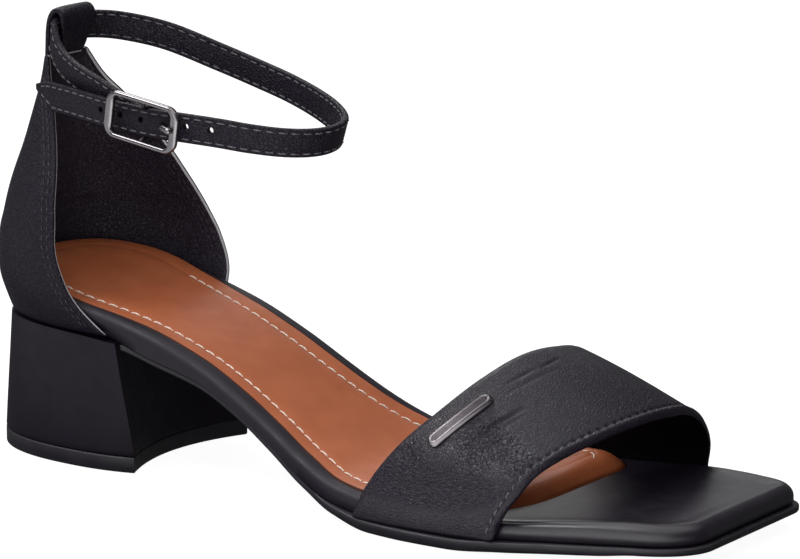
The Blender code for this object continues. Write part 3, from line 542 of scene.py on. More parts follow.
def stitches(name, path, normals, thread, material):
    """A row of thread: one small bent tube per stitch, whose ends sink into the leather."""
    run = travel(path)
    count = max(1, int(run[-1] // thread.pitch))
    middles = (np.arange(count) + 0.5) * run[-1] / count
    parts = np.linspace(-0.5, 0.5, STITCH_STEPS)
    turns = np.linspace(0, 2 * pi, STITCH_SIDES, endpoint=False)
    at = (middles[:, None] + parts[None, :] * thread.length).ravel()
    points = resample(path, at, run).reshape(count, len(parts), 3)
    up = unit(resample(normals, at, run)).reshape(count, len(parts), 3)
    along = unit(np.gradient(points, axis=1))
    beside = unit(np.cross(up, along))
    bow = (np.cos(parts * pi) ** STITCH_BOW)[None, :, None]
    points = points + up * (bow * thread.lift - (1 - bow) * thread.radius)
    points = points + beside * (parts * thread.slant)[None, :, None]
    size = thread.radius * (STITCH_END + (1 - STITCH_END) * np.cos(parts * pi))[None, :, None, None]
    circle = np.cos(turns)[:, None] * beside[:, :, None] + np.sin(turns)[:, None] * up[:, :, None]
    vertices = (points[:, :, None] + circle * size).reshape(-1, 3)
    sides, rings = len(turns), len(parts)
    faces = []
    for k in range(count):
        start = k * sides * rings
        for r in range(rings - 1):
            low = range(start + r * sides, start + (r + 1) * sides)
            faces += ring_quads(low, range(low[-1] + 1, low[-1] + 1 + sides))
        faces.append(tuple(range(start, start + sides)))
        faces.append(tuple(range(start + (rings - 1) * sides, start + rings * sides)))
    add_piece(name, (vertices, faces), [material])


CUT_SHARP = 45  # angles in degrees above which edges stay sharp, and are softened
SOFT_ANGLE = 40
SOFT_STEPS = 3


def cut(item, shape):
    """Cuts a closed shape out of a piece for good."""
    other = add_object("cutter", new_mesh("cutter", *shape))
    modifier = item.modifiers.new("Cut", "BOOLEAN")
    modifier.operation = "DIFFERENCE"
    modifier.object = other
    modifier.solver = "EXACT"
    bpy.context.view_layer.update()
    graph = bpy.context.evaluated_depsgraph_get()
    item.data = bpy.data.meshes.new_from_object(item.evaluated_get(graph))
    item.modifiers.remove(modifier)
    bpy.data.objects.remove(other, do_unlink=True)
    shade(item.data, CUT_SHARP)


def soften(item, width):
    bevel = item.modifiers.new("Edge", "BEVEL")
    bevel.width = width * MM
    bevel.segments = SOFT_STEPS
    bevel.limit_method = "ANGLE"
    bevel.angle_limit = radians(SOFT_ANGLE)
    bevel.harden_normals = True


# Materials: sizes and depths are millimetres

NOISE_ROUGHNESS = 0.55
WARP_SCALE = 0.6  # the pebbles' cells are bent by a noise this fine, as a share of a cell
WARP_REACH = 1.1  # and by this much of a cell
HIDE_PATCH = 14.0  # patches of colour and of gloss in grained leather
HIDE_GLOSS = 2.2
PORE_SIZE = 0.35
PORE_DEPTH = 0.6  # as a share of the grain's
STREAK_SIZE = 0.6
STREAK_STRETCH = (1.0, 0.22, 1.0)
STREAK_TURN = (0.0, 0.0, 0.5)
SMOOTH_PATCH = 11.0  # patches of colour and of gloss in smooth finishes
SMOOTH_GLOSS = 5.0
DRAWN_SIZE = 0.25  # lines drawn along the metal
DRAWN_STRETCH = (1.0, 1.0, 6.0)
DRAWN_DEPTH = 0.012
WEAR_SIZE = 1.8
WEAR_DEPTH = 0.02
TWIST_SCALE = 0.9  # the thread's twist
TWIST_TURN = (0.4, 0.5, 0.6)
TWIST_DEPTH = 0.06


def new_material(name, colour, roughness, specular, metallic=0.0):
    material = bpy.data.materials.new(name)
    material.use_nodes = True
    shader = material.node_tree.nodes["Principled BSDF"]
    shader.inputs["Base Color"].default_value = (*colour, 1.0)
    shader.inputs["Roughness"].default_value = roughness
    shader.inputs["Metallic"].default_value = metallic
    shader.inputs["Specular IOR Level"].default_value = specular
    return material, shader


def node(tree, kind, sockets, **settings):
    """A shader node with its settings; each socket takes a value or another node's output."""
    item = tree.nodes.new("ShaderNode" + kind)
    for name, value in settings.items():
        setattr(item, name, value)
    for name, value in sockets.items():
        if isinstance(value, bpy.types.NodeSocket):
            tree.links.new(value, item.inputs[name])
        else:
            item.inputs[name].default_value = value
    return item


def feed(material, shader, colour, roughness, layers):
    """Links a colour, a roughness and layers of bumps to the shader."""
    links = material.node_tree.links
    links.new(colour, shader.inputs["Base Color"])
    if roughness:
        links.new(roughness, shader.inputs["Roughness"])
    links.new(bumps(material.node_tree, layers), shader.inputs["Normal"])
    return material


def place_node(tree, stretch=(1.0, 1.0, 1.0), turn=(0.0, 0.0, 0.0)):
    """Coordinates fixed to the shoe, in metres, stretched for a directional grain."""
    coordinates = node(tree, "TexCoord", {})
    sockets = {"Vector": coordinates.outputs["Object"], "Scale": stretch, "Rotation": turn}
    return node(tree, "Mapping", sockets).outputs["Vector"]


def noise(tree, vector, size, detail=4.0):
    sockets = {"Vector": vector, "Scale": 1 / (size * MM), "Detail": detail, "Roughness": NOISE_ROUGHNESS}
    return node(tree, "TexNoise", sockets).outputs["Fac"]


def ranged(tree, value, low, high, start=0.3, end=0.7):
    sockets = {"Value": value, "From Min": start, "From Max": end, "To Min": low, "To Max": high}
    return node(tree, "MapRange", sockets, interpolation_type="SMOOTHSTEP").outputs["Result"]


def pebbles(tree, vector, size, soft=0.16):
    """Rounded leather cells with fine valleys between them."""
    cell = size * MM
    warp = node(tree, "TexNoise", {"Vector": vector, "Scale": WARP_SCALE / cell, "Detail": 2.0})
    sockets = {0: warp.outputs["Color"], "Scale": WARP_REACH * cell}
    shift = node(tree, "VectorMath", sockets, operation="SCALE")
    moved = node(tree, "VectorMath", {0: vector, 1: shift.outputs["Vector"]})
    sockets = {"Vector": moved.outputs["Vector"], "Scale": 1 / cell}
    cells = node(tree, "TexVoronoi", sockets, feature="DISTANCE_TO_EDGE")
    return ranged(tree, cells.outputs["Distance"], 0.0, 1.0, 0.0, soft)


def blend_colours(tree, share, *colours):
    ramp = node(tree, "ValToRGB", {"Fac": share})
    for element, colour, position in zip(ramp.color_ramp.elements, colours, (0.3, 0.7)):
        element.color = (*colour, 1.0)
        element.position = position
    return ramp.outputs["Color"]


def bumps(tree, layers):
    """Chains height layers, each given as (height, depth in millimetres) and maybe where it shows."""
    chained = {}
    for height, depth, *where in layers:
        strength = where[0] if where else 1.0
        sockets = {"Height": height, "Distance": depth * MM, "Strength": strength, **chained}
        chained = {"Normal": node(tree, "Bump", sockets).outputs["Normal"]}
    return chained["Normal"]


def patch_mask(tree, vector, patches):
    """Soft patches round places on the shoe, given as (place, reach): 1 inside, 0 outside."""
    mask = 0.0
    for place, reach in patches:
        sockets = {0: vector, 1: (np.array(place) - CENTRE) * MM}
        apart = node(tree, "VectorMath", sockets, operation="DISTANCE").outputs["Value"]
        level = ranged(tree, apart, 1.0, 0.0, PATCH_CORE * reach * MM, reach * MM)
        mask = node(tree, "Math", {0: mask, 1: level}, operation="MAXIMUM").outputs["Value"]
    return mask


Leather = namedtuple("Leather", "dark light roughness specular grain depth streak")
# two colours, range of roughness, specular level, size and depth of the grain, depth of the streaks


def leather_material(name, look, patches=()):
    """Grained leather: pebbled cells, fine pores, streaks, and patches of stronger grain and gloss."""
    material, shader = new_material(name, look.dark, look.roughness[0], look.specular)
    tree = material.node_tree
    vector = place_node(tree)
    colour = blend_colours(tree, noise(tree, vector, HIDE_PATCH, 3.0), look.dark, look.light)
    gloss = noise(tree, vector, HIDE_GLOSS)
    roughness = ranged(tree, gloss, *look.roughness)
    streaks = noise(tree, place_node(tree, STREAK_STRETCH, STREAK_TURN), STREAK_SIZE)
    layers = [(pebbles(tree, vector, look.grain), look.depth),
              (noise(tree, vector, PORE_SIZE), look.depth * PORE_DEPTH),
              (gloss, look.depth * 2), (streaks, look.streak)]
    if patches:
        mask = patch_mask(tree, vector, patches)
        sockets = {0: mask, 1: PATCH_GLOSS, 2: roughness}
        roughness = node(tree, "Math", sockets, operation="MULTIPLY_ADD").outputs["Value"]
        layers.append((pebbles(tree, vector, PATCH_GRAIN, PATCH_SOFT), PATCH_DEPTH, mask))
        layers.append((noise(tree, vector, 2 * PATCH_GRAIN), 2 * PATCH_DEPTH, mask))
    return feed(material, shader, colour, roughness, layers)


def smooth_material(name, dark, light, roughness, specular, depth, size=0.5):
    """Smooth finish: soft patches of colour and gloss with a very fine surface."""
    material, shader = new_material(name, dark, roughness[0], specular)
    tree = material.node_tree
    vector = place_node(tree)
    colour = blend_colours(tree, noise(tree, vector, SMOOTH_PATCH, 3.0), dark, light)
    gloss = noise(tree, vector, SMOOTH_GLOSS, 5.0)
    layers = [(noise(tree, vector, size), depth), (gloss, depth * 2)]
    return feed(material, shader, colour, ranged(tree, gloss, *roughness), layers)


def metal_material(name, dark, light, roughness):
    """Satin metal with fine drawn lines and a little wear."""
    material, shader = new_material(name, dark, roughness[0], 0.5, metallic=1.0)
    tree = material.node_tree
    lines = noise(tree, place_node(tree, DRAWN_STRETCH), DRAWN_SIZE, 3.0)
    wear = noise(tree, place_node(tree), WEAR_SIZE)
    colour = blend_colours(tree, wear, dark, light)
    layers = [(lines, DRAWN_DEPTH), (wear, WEAR_DEPTH)]
    return feed(material, shader, colour, ranged(tree, wear, *roughness), layers)


def thread_material(name, dark, light):
    material, shader = new_material(name, light, 0.7, 0.3)
    tree = material.node_tree
    sockets = {"Vector": place_node(tree, turn=TWIST_TURN), "Scale": TWIST_SCALE / MM, "Distortion": 1.5}
    twist = node(tree, "TexWave", sockets).outputs["Fac"]
    return feed(material, shader, blend_colours(tree, twist, dark, light), None, [(twist, TWIST_DEPTH)])


# where the band's leather is pebbled and shiny: place on the shoe and reach
VAMP_PATCHES = [
    ((176.0, -29.5, 27.5), 11.0),
    ((182.0, -29.0, 27.0), 8.0),
    ((189.5, -31.0, 24.5), 7.0),
    ((155.5, -34.0, 23.5), 5.5),
]
PATCH_GLOSS = -0.1  # change of roughness in those patches
PATCH_CORE = 0.35  # share of a patch's reach where it is full
PATCH_GRAIN = 1.4
PATCH_SOFT = 0.3  # softness of the valleys there
PATCH_DEPTH = 0.22

BLACK = (0.0043, 0.0023, 0.0070)  # cool black of the dyed leather, and its lighter patches
BLACK_WORN = (0.0057, 0.0031, 0.0090)

UPPER = leather_material("upper leather", Leather(BLACK, BLACK_WORN, (0.34, 0.48), 0.17, 1.1, 0.18, 0.05))
VAMP_LEATHER = leather_material("vamp leather", Leather(
    BLACK, BLACK_WORN, (0.33, 0.43), 0.26, 0.9, 0.06, 0.06), VAMP_PATCHES)
LINING = leather_material("lining leather", Leather(
    (0.0085, 0.0052, 0.0115), (0.0120, 0.0078, 0.0160), (0.42, 0.58), 0.3, 1.1, 0.2, 0.05))
# black lining, painted darker still than the cup's lining as painted shade for the inside of the band
BAND_LINING_SHADED = leather_material("band lining painted shade", Leather(
    (0.0014, 0.0008, 0.0021), (0.0020, 0.0012, 0.0028), (0.55, 0.65), 0.06, 0.9, 0.05, 0.03))
EDGE = smooth_material("cut edge", (0.26, 0.25, 0.265), (0.36, 0.35, 0.365), (0.4, 0.5), 0.4, 0.02)
WRAP = smooth_material("footbed wrap", BLACK, BLACK_WORN, (0.37, 0.43), 0.58, 0.012)
WRAP_SIDE = smooth_material("footbed wall", BLACK, BLACK_WORN, (0.48, 0.58), 0.3, 0.012)
HEEL_COVER = smooth_material("heel cover", BLACK, BLACK_WORN, (0.46, 0.58), 0.2, 0.012)
RUBBER = smooth_material("sole rubber", (0.0070, 0.0050, 0.0100), (0.0100, 0.0080, 0.0130),
                         (0.46, 0.6), 0.45, 0.02)
TAN = smooth_material("insole leather", (0.292, 0.078, 0.0285), (0.344, 0.0955, 0.0365),
                      (0.36, 0.48), 0.26, 0.015, size=0.7)
# painted shade: a dark copy of the insole leather, standing in for the shade along the pad's edge where it
# meets the footbed
TAN_PAINTED_SHADE = smooth_material("insole edge painted shade", (0.045, 0.014, 0.007), (0.060, 0.019, 0.010),
                           (0.5, 0.6), 0.1, 0.01)
METAL = metal_material("gunmetal", (0.16, 0.150, 0.158), (0.20, 0.188, 0.197), (0.2, 0.28))
BAR_METAL = metal_material("dark gunmetal", (0.14, 0.128, 0.137), (0.18, 0.165, 0.175), (0.28, 0.36))
# painted shade: a darker copy of the bar's gunmetal for its sunk face and the centre bar, standing in for
# their dimmer reflection and shade
BAR_SHADED_METAL = metal_material("gunmetal painted shade", (0.030, 0.027, 0.029), (0.043, 0.038, 0.041), (0.34, 0.44))
THREAD_GREY = thread_material("grey thread", (0.040, 0.038, 0.043), (0.110, 0.105, 0.115))
THREAD_DARK = thread_material("dark thread", (0.012, 0.011, 0.014), (0.036, 0.034, 0.040))
THREAD_PALE = thread_material("pale thread", (0.52, 0.42, 0.35), (0.80, 0.70, 0.62))

# Sole

SOLE = columns(SOLE_ROWS)
END_TURN = 4  # degrees at which the round heel's grid starts, short of a point
SOLE_STEPS = (26, 110, 24)  # points round half the heel, down a side and round a toe corner
SOLE_SHARP = 42  # degrees above which the sole's and heel's edges show sharp
START_STEP = 0.5  # least distance from the start to the next point
HALF_STEP = 0.5  # slopes are taken this far to each side


def side_half_width(x, side):
    """Half width of the footbed at x on one side, with the round heel end."""
    width = SOLE[side](x)
    depth = np.clip((HEEL_ROUND_X - x) / (HEEL_ROUND_X - HEEL_BACK), 0.0, 1.0)
    return width * (1 - depth ** HEEL_POWER) ** (1 / HEEL_POWER)


def sole_sides(start, front, corners):
    """Points down both sides, from the start at the heel end to the front edge's straight part."""
    heel_turns = arc(END_TURN, 90, SOLE_STEPS[0])
    heel_x = HEEL_ROUND_X - (HEEL_ROUND_X - HEEL_BACK) * np.cos(heel_turns) ** (2 / HEEL_POWER)
    side_end = front - max(length for length, _ in corners.values())
    side_x = np.linspace(HEEL_ROUND_X, side_end, SOLE_STEPS[1])[1:-1]
    corner_turns = arc(0, 90, SOLE_STEPS[2])
    along = np.concatenate((heel_x, side_x))
    if start > heel_x[0]:
        along = np.concatenate(([start], along[along > start + START_STEP]))
    sides = {}
    for side, sign in SIDES.items():
        length, inward = corners[side]
        corner_x = front - length + length * np.sin(corner_turns) ** (2 / TOE_POWER)
        corner_in = inward * (1 - np.cos(corner_turns) ** (2 / TOE_POWER))
        straight = np.column_stack((along, sign * side_half_width(along, side)))
        turned = np.column_stack((corner_x, sign * (side_half_width(corner_x, side) - corner_in)))
        sides[side] = np.vstack((straight, turned))
    return sides


def offset_sides(sides, reach):
    """Both sides moved outward by a reach, which may differ from side to side and point to point."""
    if not isinstance(reach, dict):
        reach = {side: reach for side in sides}
    moved = {}
    for side, sign in SIDES.items():
        points = sides[side]
        run = unit(np.gradient(points, axis=0))
        outward = sign * np.column_stack((-run[:, 1], run[:, 0]))
        moved[side] = points + outward * np.broadcast_to(reach[side], len(points))[:, None]
    return moved


def level_grid(sides, height, cols=25):
    """A grid between the two sides, at a height given as a function of x."""
    share = np.linspace(0, 1, cols)[None, :, None]
    flat = sides["lateral"][:, None] * (1 - share) + sides["medial"][:, None] * share
    return np.dstack((flat, height(flat[..., 0])))


# the outsole's section from the tread up: inset, and share of its thickness
OUTSOLE_SECTION = [(0.9, 0.0), (0.5, 0.04), (0.2, 0.14), (0.0, 0.3), (0.0, 0.8), (0.12, 0.93), (0.4, 1.0)]


def build_outsole():
    sides = sole_sides(OUTSOLE_BACK, TOE_FRONT, TOE_CORNER)
    reach = SOLE["reach"](sides["lateral"][:, 0])
    levels = []
    for inset, share in OUTSOLE_SECTION:
        def height(x, share=share):
            top = SOLE["bottom"](x) - SEAT_GAP
            return top - SOLE["sole"](x) * (1 - share)
        levels.append(level_grid(offset_sides(sides, reach - inset), height, 9))
    add_piece("outsole_rubber", stacked(levels), [RUBBER], "outsole", sharp=SOLE_SHARP)


def edge_radius(x):
    """Radius of the footbed's rounded top edge."""
    return np.interp(x, TOE_EDGE_RUN, (FOOTBED_EDGE, TOE_EDGE))


WELT_RUN = (178.0, 190.0, 206.0, 218.0)  # where the toe's wrapped edge has a soft line: fade in and out
WELT_TURN = (58.0, 6.0)  # that line's place and reach, in degrees up the rounding
WELT_DEPTH = 0.12
ROLL_TURN = (34.0, 13.0)  # the fuller roll below the line
ROLL_RISE = 0.1
# the toe's top behind the rounded edge: inset beyond it, and how far it sinks there
TOE_DISH = [(0.8, 0.05), (1.8, 0.2), (3.2, 0.42), (4.7, 0.52)]
DISH_RUN = (178.0, 200.0)
EDGE_STEPS = 19  # steps up the rounding
LOWER_ROUND = 0.5  # rounding of the footbed's lower edge
WRAP_CHANGE = 165.0  # behind this place, under the band, the wrap is duller


def footbed_relief(x, degrees):
    """Relief of the rounded edge at an angle up its rounding."""
    start, full, last, end = WELT_RUN
    shown = smoothstep(start, full, x) * (1 - smoothstep(last, end, x))
    roll = ROLL_RISE * bell(degrees - ROLL_TURN[0], ROLL_TURN[1])
    return shown * (roll - WELT_DEPTH * bell(degrees - WELT_TURN[0], WELT_TURN[1]))


def build_footbed():
    sides = sole_sides(HEEL_BACK, TOE_FRONT, TOE_CORNER)
    along = sides["lateral"][:, 0]
    tuck = HEEL_TUCK * np.interp(along, TUCK_END, (1.0, 0.0))
    levels = [
        level_grid(offset_sides(sides, -tuck - LOWER_ROUND), SOLE["bottom"]),
        level_grid(offset_sides(sides, -tuck), lambda x: SOLE["bottom"](x) + LOWER_ROUND),
    ]
    for degrees in np.linspace(0, 90, EDGE_STEPS):
        turn = radians(degrees)
        swell = edge_radius(along) + footbed_relief(along, degrees)

        def height(x, turn=turn, degrees=degrees):
            round_edge = edge_radius(x)
            return SOLE["top"](x) - round_edge + (round_edge + footbed_relief(x, degrees)) * sin(turn)

        levels.append(level_grid(offset_sides(sides, swell * cos(turn) - edge_radius(along)), height))
    for inset, dish in TOE_DISH:
        def height(x, dish=dish):
            return SOLE["top"](x) - dish * smoothstep(*DISH_RUN, x)
        levels.append(level_grid(offset_sides(sides, -edge_radius(along) - inset), height))
    vertices, faces = stacked(levels)
    slots = [int(vertices[list(face), 0].mean() < WRAP_CHANGE) for face in faces]
    footbed = add_piece("footbed_wrap", (vertices, faces, slots), [WRAP, WRAP_SIDE],
                        "footbed", sharp=SOLE_SHARP)
    recess = pad_outline(SEAT_GAP)
    cut(footbed, stacked([
        level_grid(recess, lambda x: SOLE["top"](x) - PAD_SUNK - SEAT_GAP, 9),
        level_grid(recess, lambda x: SOLE["top"](x) + RECESS_CUT, 9),
    ]))


PAD = columns(PAD_ROWS)
# distances of the insole's stitches from the inner end of its edge's rounding
PAD_STITCH = columns(table(
    "x lateral medial",
    (-6.0, 4.3, 6.2),
    (130.0, 4.3, 6.2),
    (160.0, 4.3, 6.4),
    (184.0, 4.3, 6.4),
))
PAD_STITCH_START = 6.0  # the stitches run from here on the medial heel, round the back and the front,
PAD_STITCH_END = 39.0  # to here on the medial side
PAD_STITCH_BREAK = 165.0  # they stop here on the lateral side, under the band, until the front's turn
PAD_STITCH_TURN = [(178.0, 21.8), (176.6, 24.8), (173.2, 27.6)]  # their end at the front's medial corner
PAD_TURN_START = 168.0  # where they leave the medial side for it
PAD_SINK = 0.04  # how deep the stitches lie in their groove
PAD_ROLL = 5.0  # how much wider the edge's rounding is towards the front
PAD_ROLL_RUN = (148.0, 174.0)
PAD_ROLL_DROP = 0.46  # share of its height above the footbed that the wider rounding adds
# the pad's top from its rounded edge inward: share of the way to the stitches, step past them, rise
PAD_SECTION = [(0.4, 0.0, 0.04), (1.0, 0.7, 0.03), (1.0, 0.3, -0.1), (1.0, -0.3, -0.1),
               (1.0, -0.8, 0.08), (1.0, -2.0, 0.2), (1.0, -4.0, 0.28)]
SHADED_RINGS = 5  # strips of the pad's edge given the dark painted-shade colour, back from here; it stands for the shade where the pad meets the footbed
SHADED_END = 146.0
PAD_STITCH_LEAST = 0.8  # least distance of the stitches from the rounding
PAD_STEPS = 7  # steps up the rounding
PAD_THREAD = Thread(3.7, 3.3, 0.24, 0.16, 0.3)


def pad_edge(x):
    """Rounding of the pad's upper edge, wider where the pad stands higher."""
    return PAD_EDGE + PAD_EDGE_SHARE * PAD["proud"](x)


def pad_roll(x):
    return PAD_ROLL * smoothstep(*PAD_ROLL_RUN, x)


def pad_outline(grow=0.0, rounding=0.0, to_stitch=0.0):
    """The pad's two sides, grown by a margin, drawn in by its edge's rounding and towards its stitches."""
    sides = sole_sides(HEEL_BACK, PAD_FRONT + PAD_ROWS[-1].lateral, PAD_CORNER)
    reach = {}
    for side, points in sides.items():
        x = points[:, 0]
        wide = pad_edge(x) + pad_roll(x)
        past = np.maximum(PAD_STITCH[side](x) - pad_roll(x), PAD_STITCH_LEAST)
        reach[side] = grow - PAD[side](x) - rounding * wide - to_stitch * past
    return offset_sides(sides, reach)


def pad_top(x):
    return SOLE["top"](x) + PAD["proud"](x)


def build_insole():
    levels = [level_grid(pad_outline(), lambda x: SOLE["top"](x) - PAD_SUNK)]
    for turn in arc(0, 90, PAD_STEPS):
        def height(x, turn=turn):
            drop = pad_edge(x) + PAD_ROLL_DROP * PAD["proud"](x) * smoothstep(*PAD_ROLL_RUN, x)
            return pad_top(x) - drop * (1 - sin(turn))
        levels.append(level_grid(pad_outline(rounding=2 * turn / pi), height))
    for to_stitch, grow, rise in PAD_SECTION:
        outline = pad_outline(grow, 1.0, to_stitch)
        levels.append(level_grid(outline, lambda x, rise=rise: pad_top(x) + rise))
    vertices, faces = stacked(levels)
    # the lowest strips of the pad's edge take the painted-shade material
    first = 2 * cap_count(levels[0])
    last = first + SHADED_RINGS * len(rim_points(levels[0]))
    slots = [0] * len(faces)
    for k in range(first, last):
        slots[k] = int(vertices[list(faces[k]), 0].mean() < SHADED_END)
    pad = add_piece("insole_pad", (vertices, faces, slots), [TAN, TAN_PAINTED_SHADE], "insole")
    ring = pad_outline(0.0, 1.0, 1.0)
    medial, lateral = ring["medial"], ring["lateral"]
    heel = medial[medial[:, 0] < PAD_STITCH_START][::-1]
    along = (medial[:, 0] > PAD_STITCH_END) & (medial[:, 0] < PAD_TURN_START)
    front = np.vstack((PAD_STITCH_TURN, medial[along][::-1]))
    pad_stitches("insole_stitches", np.vstack((heel, lateral[lateral[:, 0] < PAD_STITCH_BREAK])))
    pad_stitches("insole_stitches_front", front)


def pad_stitches(name, flat):
    path = np.column_stack((flat, pad_top(flat[:, 0]) - PAD_SINK))
    slope = (pad_top(flat[:, 0] + HALF_STEP) - pad_top(flat[:, 0] - HALF_STEP)) / (2 * HALF_STEP)
    normals = unit(np.column_stack((-slope, np.zeros(len(flat)), np.ones(len(flat)))))
    stitches(name, path, normals, PAD_THREAD, THREAD_PALE)


# Heel

HEEL = columns(HEEL_ROWS)
HEEL_SEAM = 0.12  # fine gap above the top lift
HEEL_BEVEL = 0.9  # softness of the heel's upright edges
LIFT_BEVEL = 0.25
HEEL_WIDEST = 0.7  # share of its length where it is widest
HEEL_STEPS = (40, 17, 41)  # points round half its back, down a side and across
HEEL_FOOT = [(0.0, 0.35), (0.01, 0.1)]  # its rounded lower edge: share of its height, and inset
# the top lift's section: inset and height
LIFT_SECTION = [(0.5, 0.0), (0.15, 0.12), (0.0, 0.45), (0.0, 4.2), (0.15, 4.5), (0.35, LIFT_HEIGHT)]


def heel_grid(rise, height, shrink=0.0):
    """The heel's plan at a share of its height: round at the back, hollow at the breast."""
    back, front, half, corner = (float(HEEL[name](rise)) for name in HEEL_ROWS[0]._fields[1:])
    back, front, half, corner = back + shrink, front - shrink, half - shrink, corner - shrink
    widest = back + HEEL_WIDEST * (front - back)
    turns = arc(END_TURN, 90, HEEL_STEPS[0])
    round_x = widest - (widest - back) * np.cos(turns) ** (2 / HEEL_CORNER_POWER)
    round_y = half * np.sin(turns) ** (2 / HEEL_CORNER_POWER)
    share = np.linspace(0, 1, HEEL_STEPS[1])[1:]
    side_x = np.concatenate((round_x, widest + (front - widest) * share))
    side_y = np.concatenate((round_y, half - (half - corner) * share ** 2))
    across = np.linspace(-1, 1, HEEL_STEPS[2])
    hollow = BREAST_DEPTH * np.clip((side_x - back) / (front - back), 0, 1) ** 2
    x = side_x[:, None] - hollow[:, None] * (1 - across ** 2)[None, :]
    y = side_y[:, None] * across[None, :]
    return np.dstack((x, y, height(x)))


def build_heel():
    base = LIFT_HEIGHT + HEEL_SEAM

    def at_rise(rise):
        return lambda x: base + rise * (SOLE["bottom"](x) - SEAT_GAP - base)

    levels = [heel_grid(rise, at_rise(rise), inset) for rise, inset in HEEL_FOOT]
    levels += [heel_grid(rise, at_rise(rise)) for rise in np.linspace(0.02, 1.0, 26)]
    block = add_piece("heel_block_cover", stacked(levels), [HEEL_COVER], "heel_block",
                      sharp=SOLE_SHARP)
    soften(block, HEEL_BEVEL)
    levels = [heel_grid(0.0, lambda x, z=z: np.full_like(x, z), shrink) for shrink, z in LIFT_SECTION]
    lift = add_piece("heel_top_lift_rubber", stacked(levels), [RUBBER], "heel_top_lift",
                     sharp=SOLE_SHARP)
    soften(lift, LIFT_BEVEL)


# Heel cup

CUP = columns(CUP_ROWS)
CUP_STITCH = (1.7, 3.5)  # distances of the two stitch rows from the cup's front edges
CUP_THREAD = Thread(2.7, 1.9, 0.17, 0.1, 0.0)
CUP_GRID = (150, 190)
CUP_GROOVE = (0.1, 0.45)  # depth and reach of the groove along a stitch row
CUP_TUCK = (0.9, 3.0)  # how far the lower edge draws in, and up to what height
CUP_SKIVE = (0.25, 1.2)  # how much the wall thins at its cut edges, and over what distance
CUP_RIM = 0.8  # roundness of its rim, and the material of each strip round it
CUP_RIM_SLOTS = (0, 0, 0, 2, 2, 1)
OUTER_STITCHED = slice(5, -10)  # rows of the grid that the stitches run over, outside and inside
INNER_STITCHED = slice(20, -10)
WALL_SHARP = 75  # degrees above which a leather wall's edges show sharp

# soft hollows in the cup's wall: share of the way round from the lateral edge, height, reach and depth
CUP_DENTS = table(
    "share z wide tall depth",
    (0.30, 92.0, 5.0, 9.0, 0.5),
    (0.16, 70.0, 4.0, 12.0, 0.35),
    (0.42, 60.0, 8.0, 7.0, -0.4),
    (0.68, 88.0, 5.0, 9.0, 0.45),
    (0.80, 66.0, 5.0, 10.0, 0.35),
)


def cup_point(z, turn):
    """A point of the cup's outer face at a height; turn runs from -90 to 90 degrees round the back."""
    power = 2 / CUP["power"](z)
    edge = np.where(turn < 0, CUP["lateral"](z), CUP["medial"](z))
    back = CUP["back"](z)
    x = edge - (edge - back) * np.cos(turn) ** power
    y = CUP["half"](z) * np.sign(turn) * np.abs(np.sin(turn)) ** power
    return x, y


def cup_grid(rows, cols):
    turns = arc(-90, 90, 3 * cols)[None, :]
    low, high = CUP_ROWS[0].z, CUP_ROWS[-1].z
    level = np.linspace(low, high, rows)[:, None]
    z = level + CUP_DROP * ((high - level) / (high - low)) ** 4 * np.cos(turns)
    x, y = cup_point(z, np.broadcast_to(turns, z.shape))
    return even_columns(np.dstack((x, y, z)), cols)


def build_heel_cup():
    outer = cup_grid(*CUP_GRID)
    normals = grid_normals(outer, (-1.0, 0.0, 0.0))
    length = np.array([travel(row)[-1] for row in outer])[:, None]
    share = np.linspace(0, 1, outer.shape[1])[None, :]
    edge = np.minimum(share, 1 - share) * length
    rise = outer[..., 2] - CUP_ROWS[0].z
    relief = -CUP_GROOVE[0] * sum(bell(edge - row, CUP_GROOVE[1]) for row in CUP_STITCH)
    relief -= CUP_TUCK[0] * np.clip(1 - rise / CUP_TUCK[1], 0, 1) ** 2
    for dent in CUP_DENTS:
        aside = (share - dent.share) * length / dent.wide
        above = (outer[..., 2] - dent.z) / dent.tall
        relief -= dent.depth * np.exp(-aside ** 2 - above ** 2)
    face = outer + normals * relief[..., None]
    inner = outer - normals * (LEATHER - CUP_SKIVE[0] * np.exp(-edge / CUP_SKIVE[1]))[..., None]
    shape = walled(face, inner, CUP_RIM, CUP_RIM_SLOTS)
    add_piece("heel_cup_leather", shape, [UPPER, LINING, EDGE], "heel_cup",
              sharp=WALL_SHARP)
    rows = [("lateral", face, normals, False, OUTER_STITCHED),
            ("medial", face, normals, True, OUTER_STITCHED),
            ("inner", inner, -normals, True, INNER_STITCHED)]
    for number, distance in enumerate(CUP_STITCH, 1):
        for side, grid, outward, from_end, part in rows:
            path, up = row_line(grid, outward, distance, from_end)
            stitches(f"cup_stitches_{side}_{number}", path[part], up[part], CUP_THREAD, THREAD_DARK)


# Vamp band

VAMP = columns(VAMP_ROWS, limited=False)
VAMP_STITCH = 2.2  # distance of the stitch row from the band's front edge
VAMP_THREAD = Thread(2.9, 2.2, 0.26, 0.05, 0.5)
VAMP_GRID = (330, 100)
ACROSS_MM = 132.0  # the band's length over the foot
ALONG_MM = 38.0  # its width
VAMP_SEAT = (0.5, 6.0)  # heights above the footbed between which the band leaves its side
VAMP_FLAT = 6.0  # length of its ends, at the sole, where the relief fades in
VAMP_TRIM = 4  # rows at each end without stitches
VAMP_SKIVE = (0.2, 1.2)  # how much the wall thins at its edges, and over what distance
VAMP_RIM = 0.9  # roundness of its rim, and the material of each strip round it
VAMP_RIM_SLOTS = (0, 0, 0, 0, 0, 1)
REAR_ROUND = (0.3, 0.9)  # drop and reach of its rounded rear edge, and of the front one
FRONT_ROUND = (0.3, 0.6)
PINCH_REACH = 0.6
CREASE_ENDS = 0.35  # share of a crease's depth at its ends
EDGE_ROLL = 0.34  # fullness of the turned front edge
EDGE_PINCH = (0.3, 0.24)  # how far the stitches draw the leather in, all along and at the needle holes

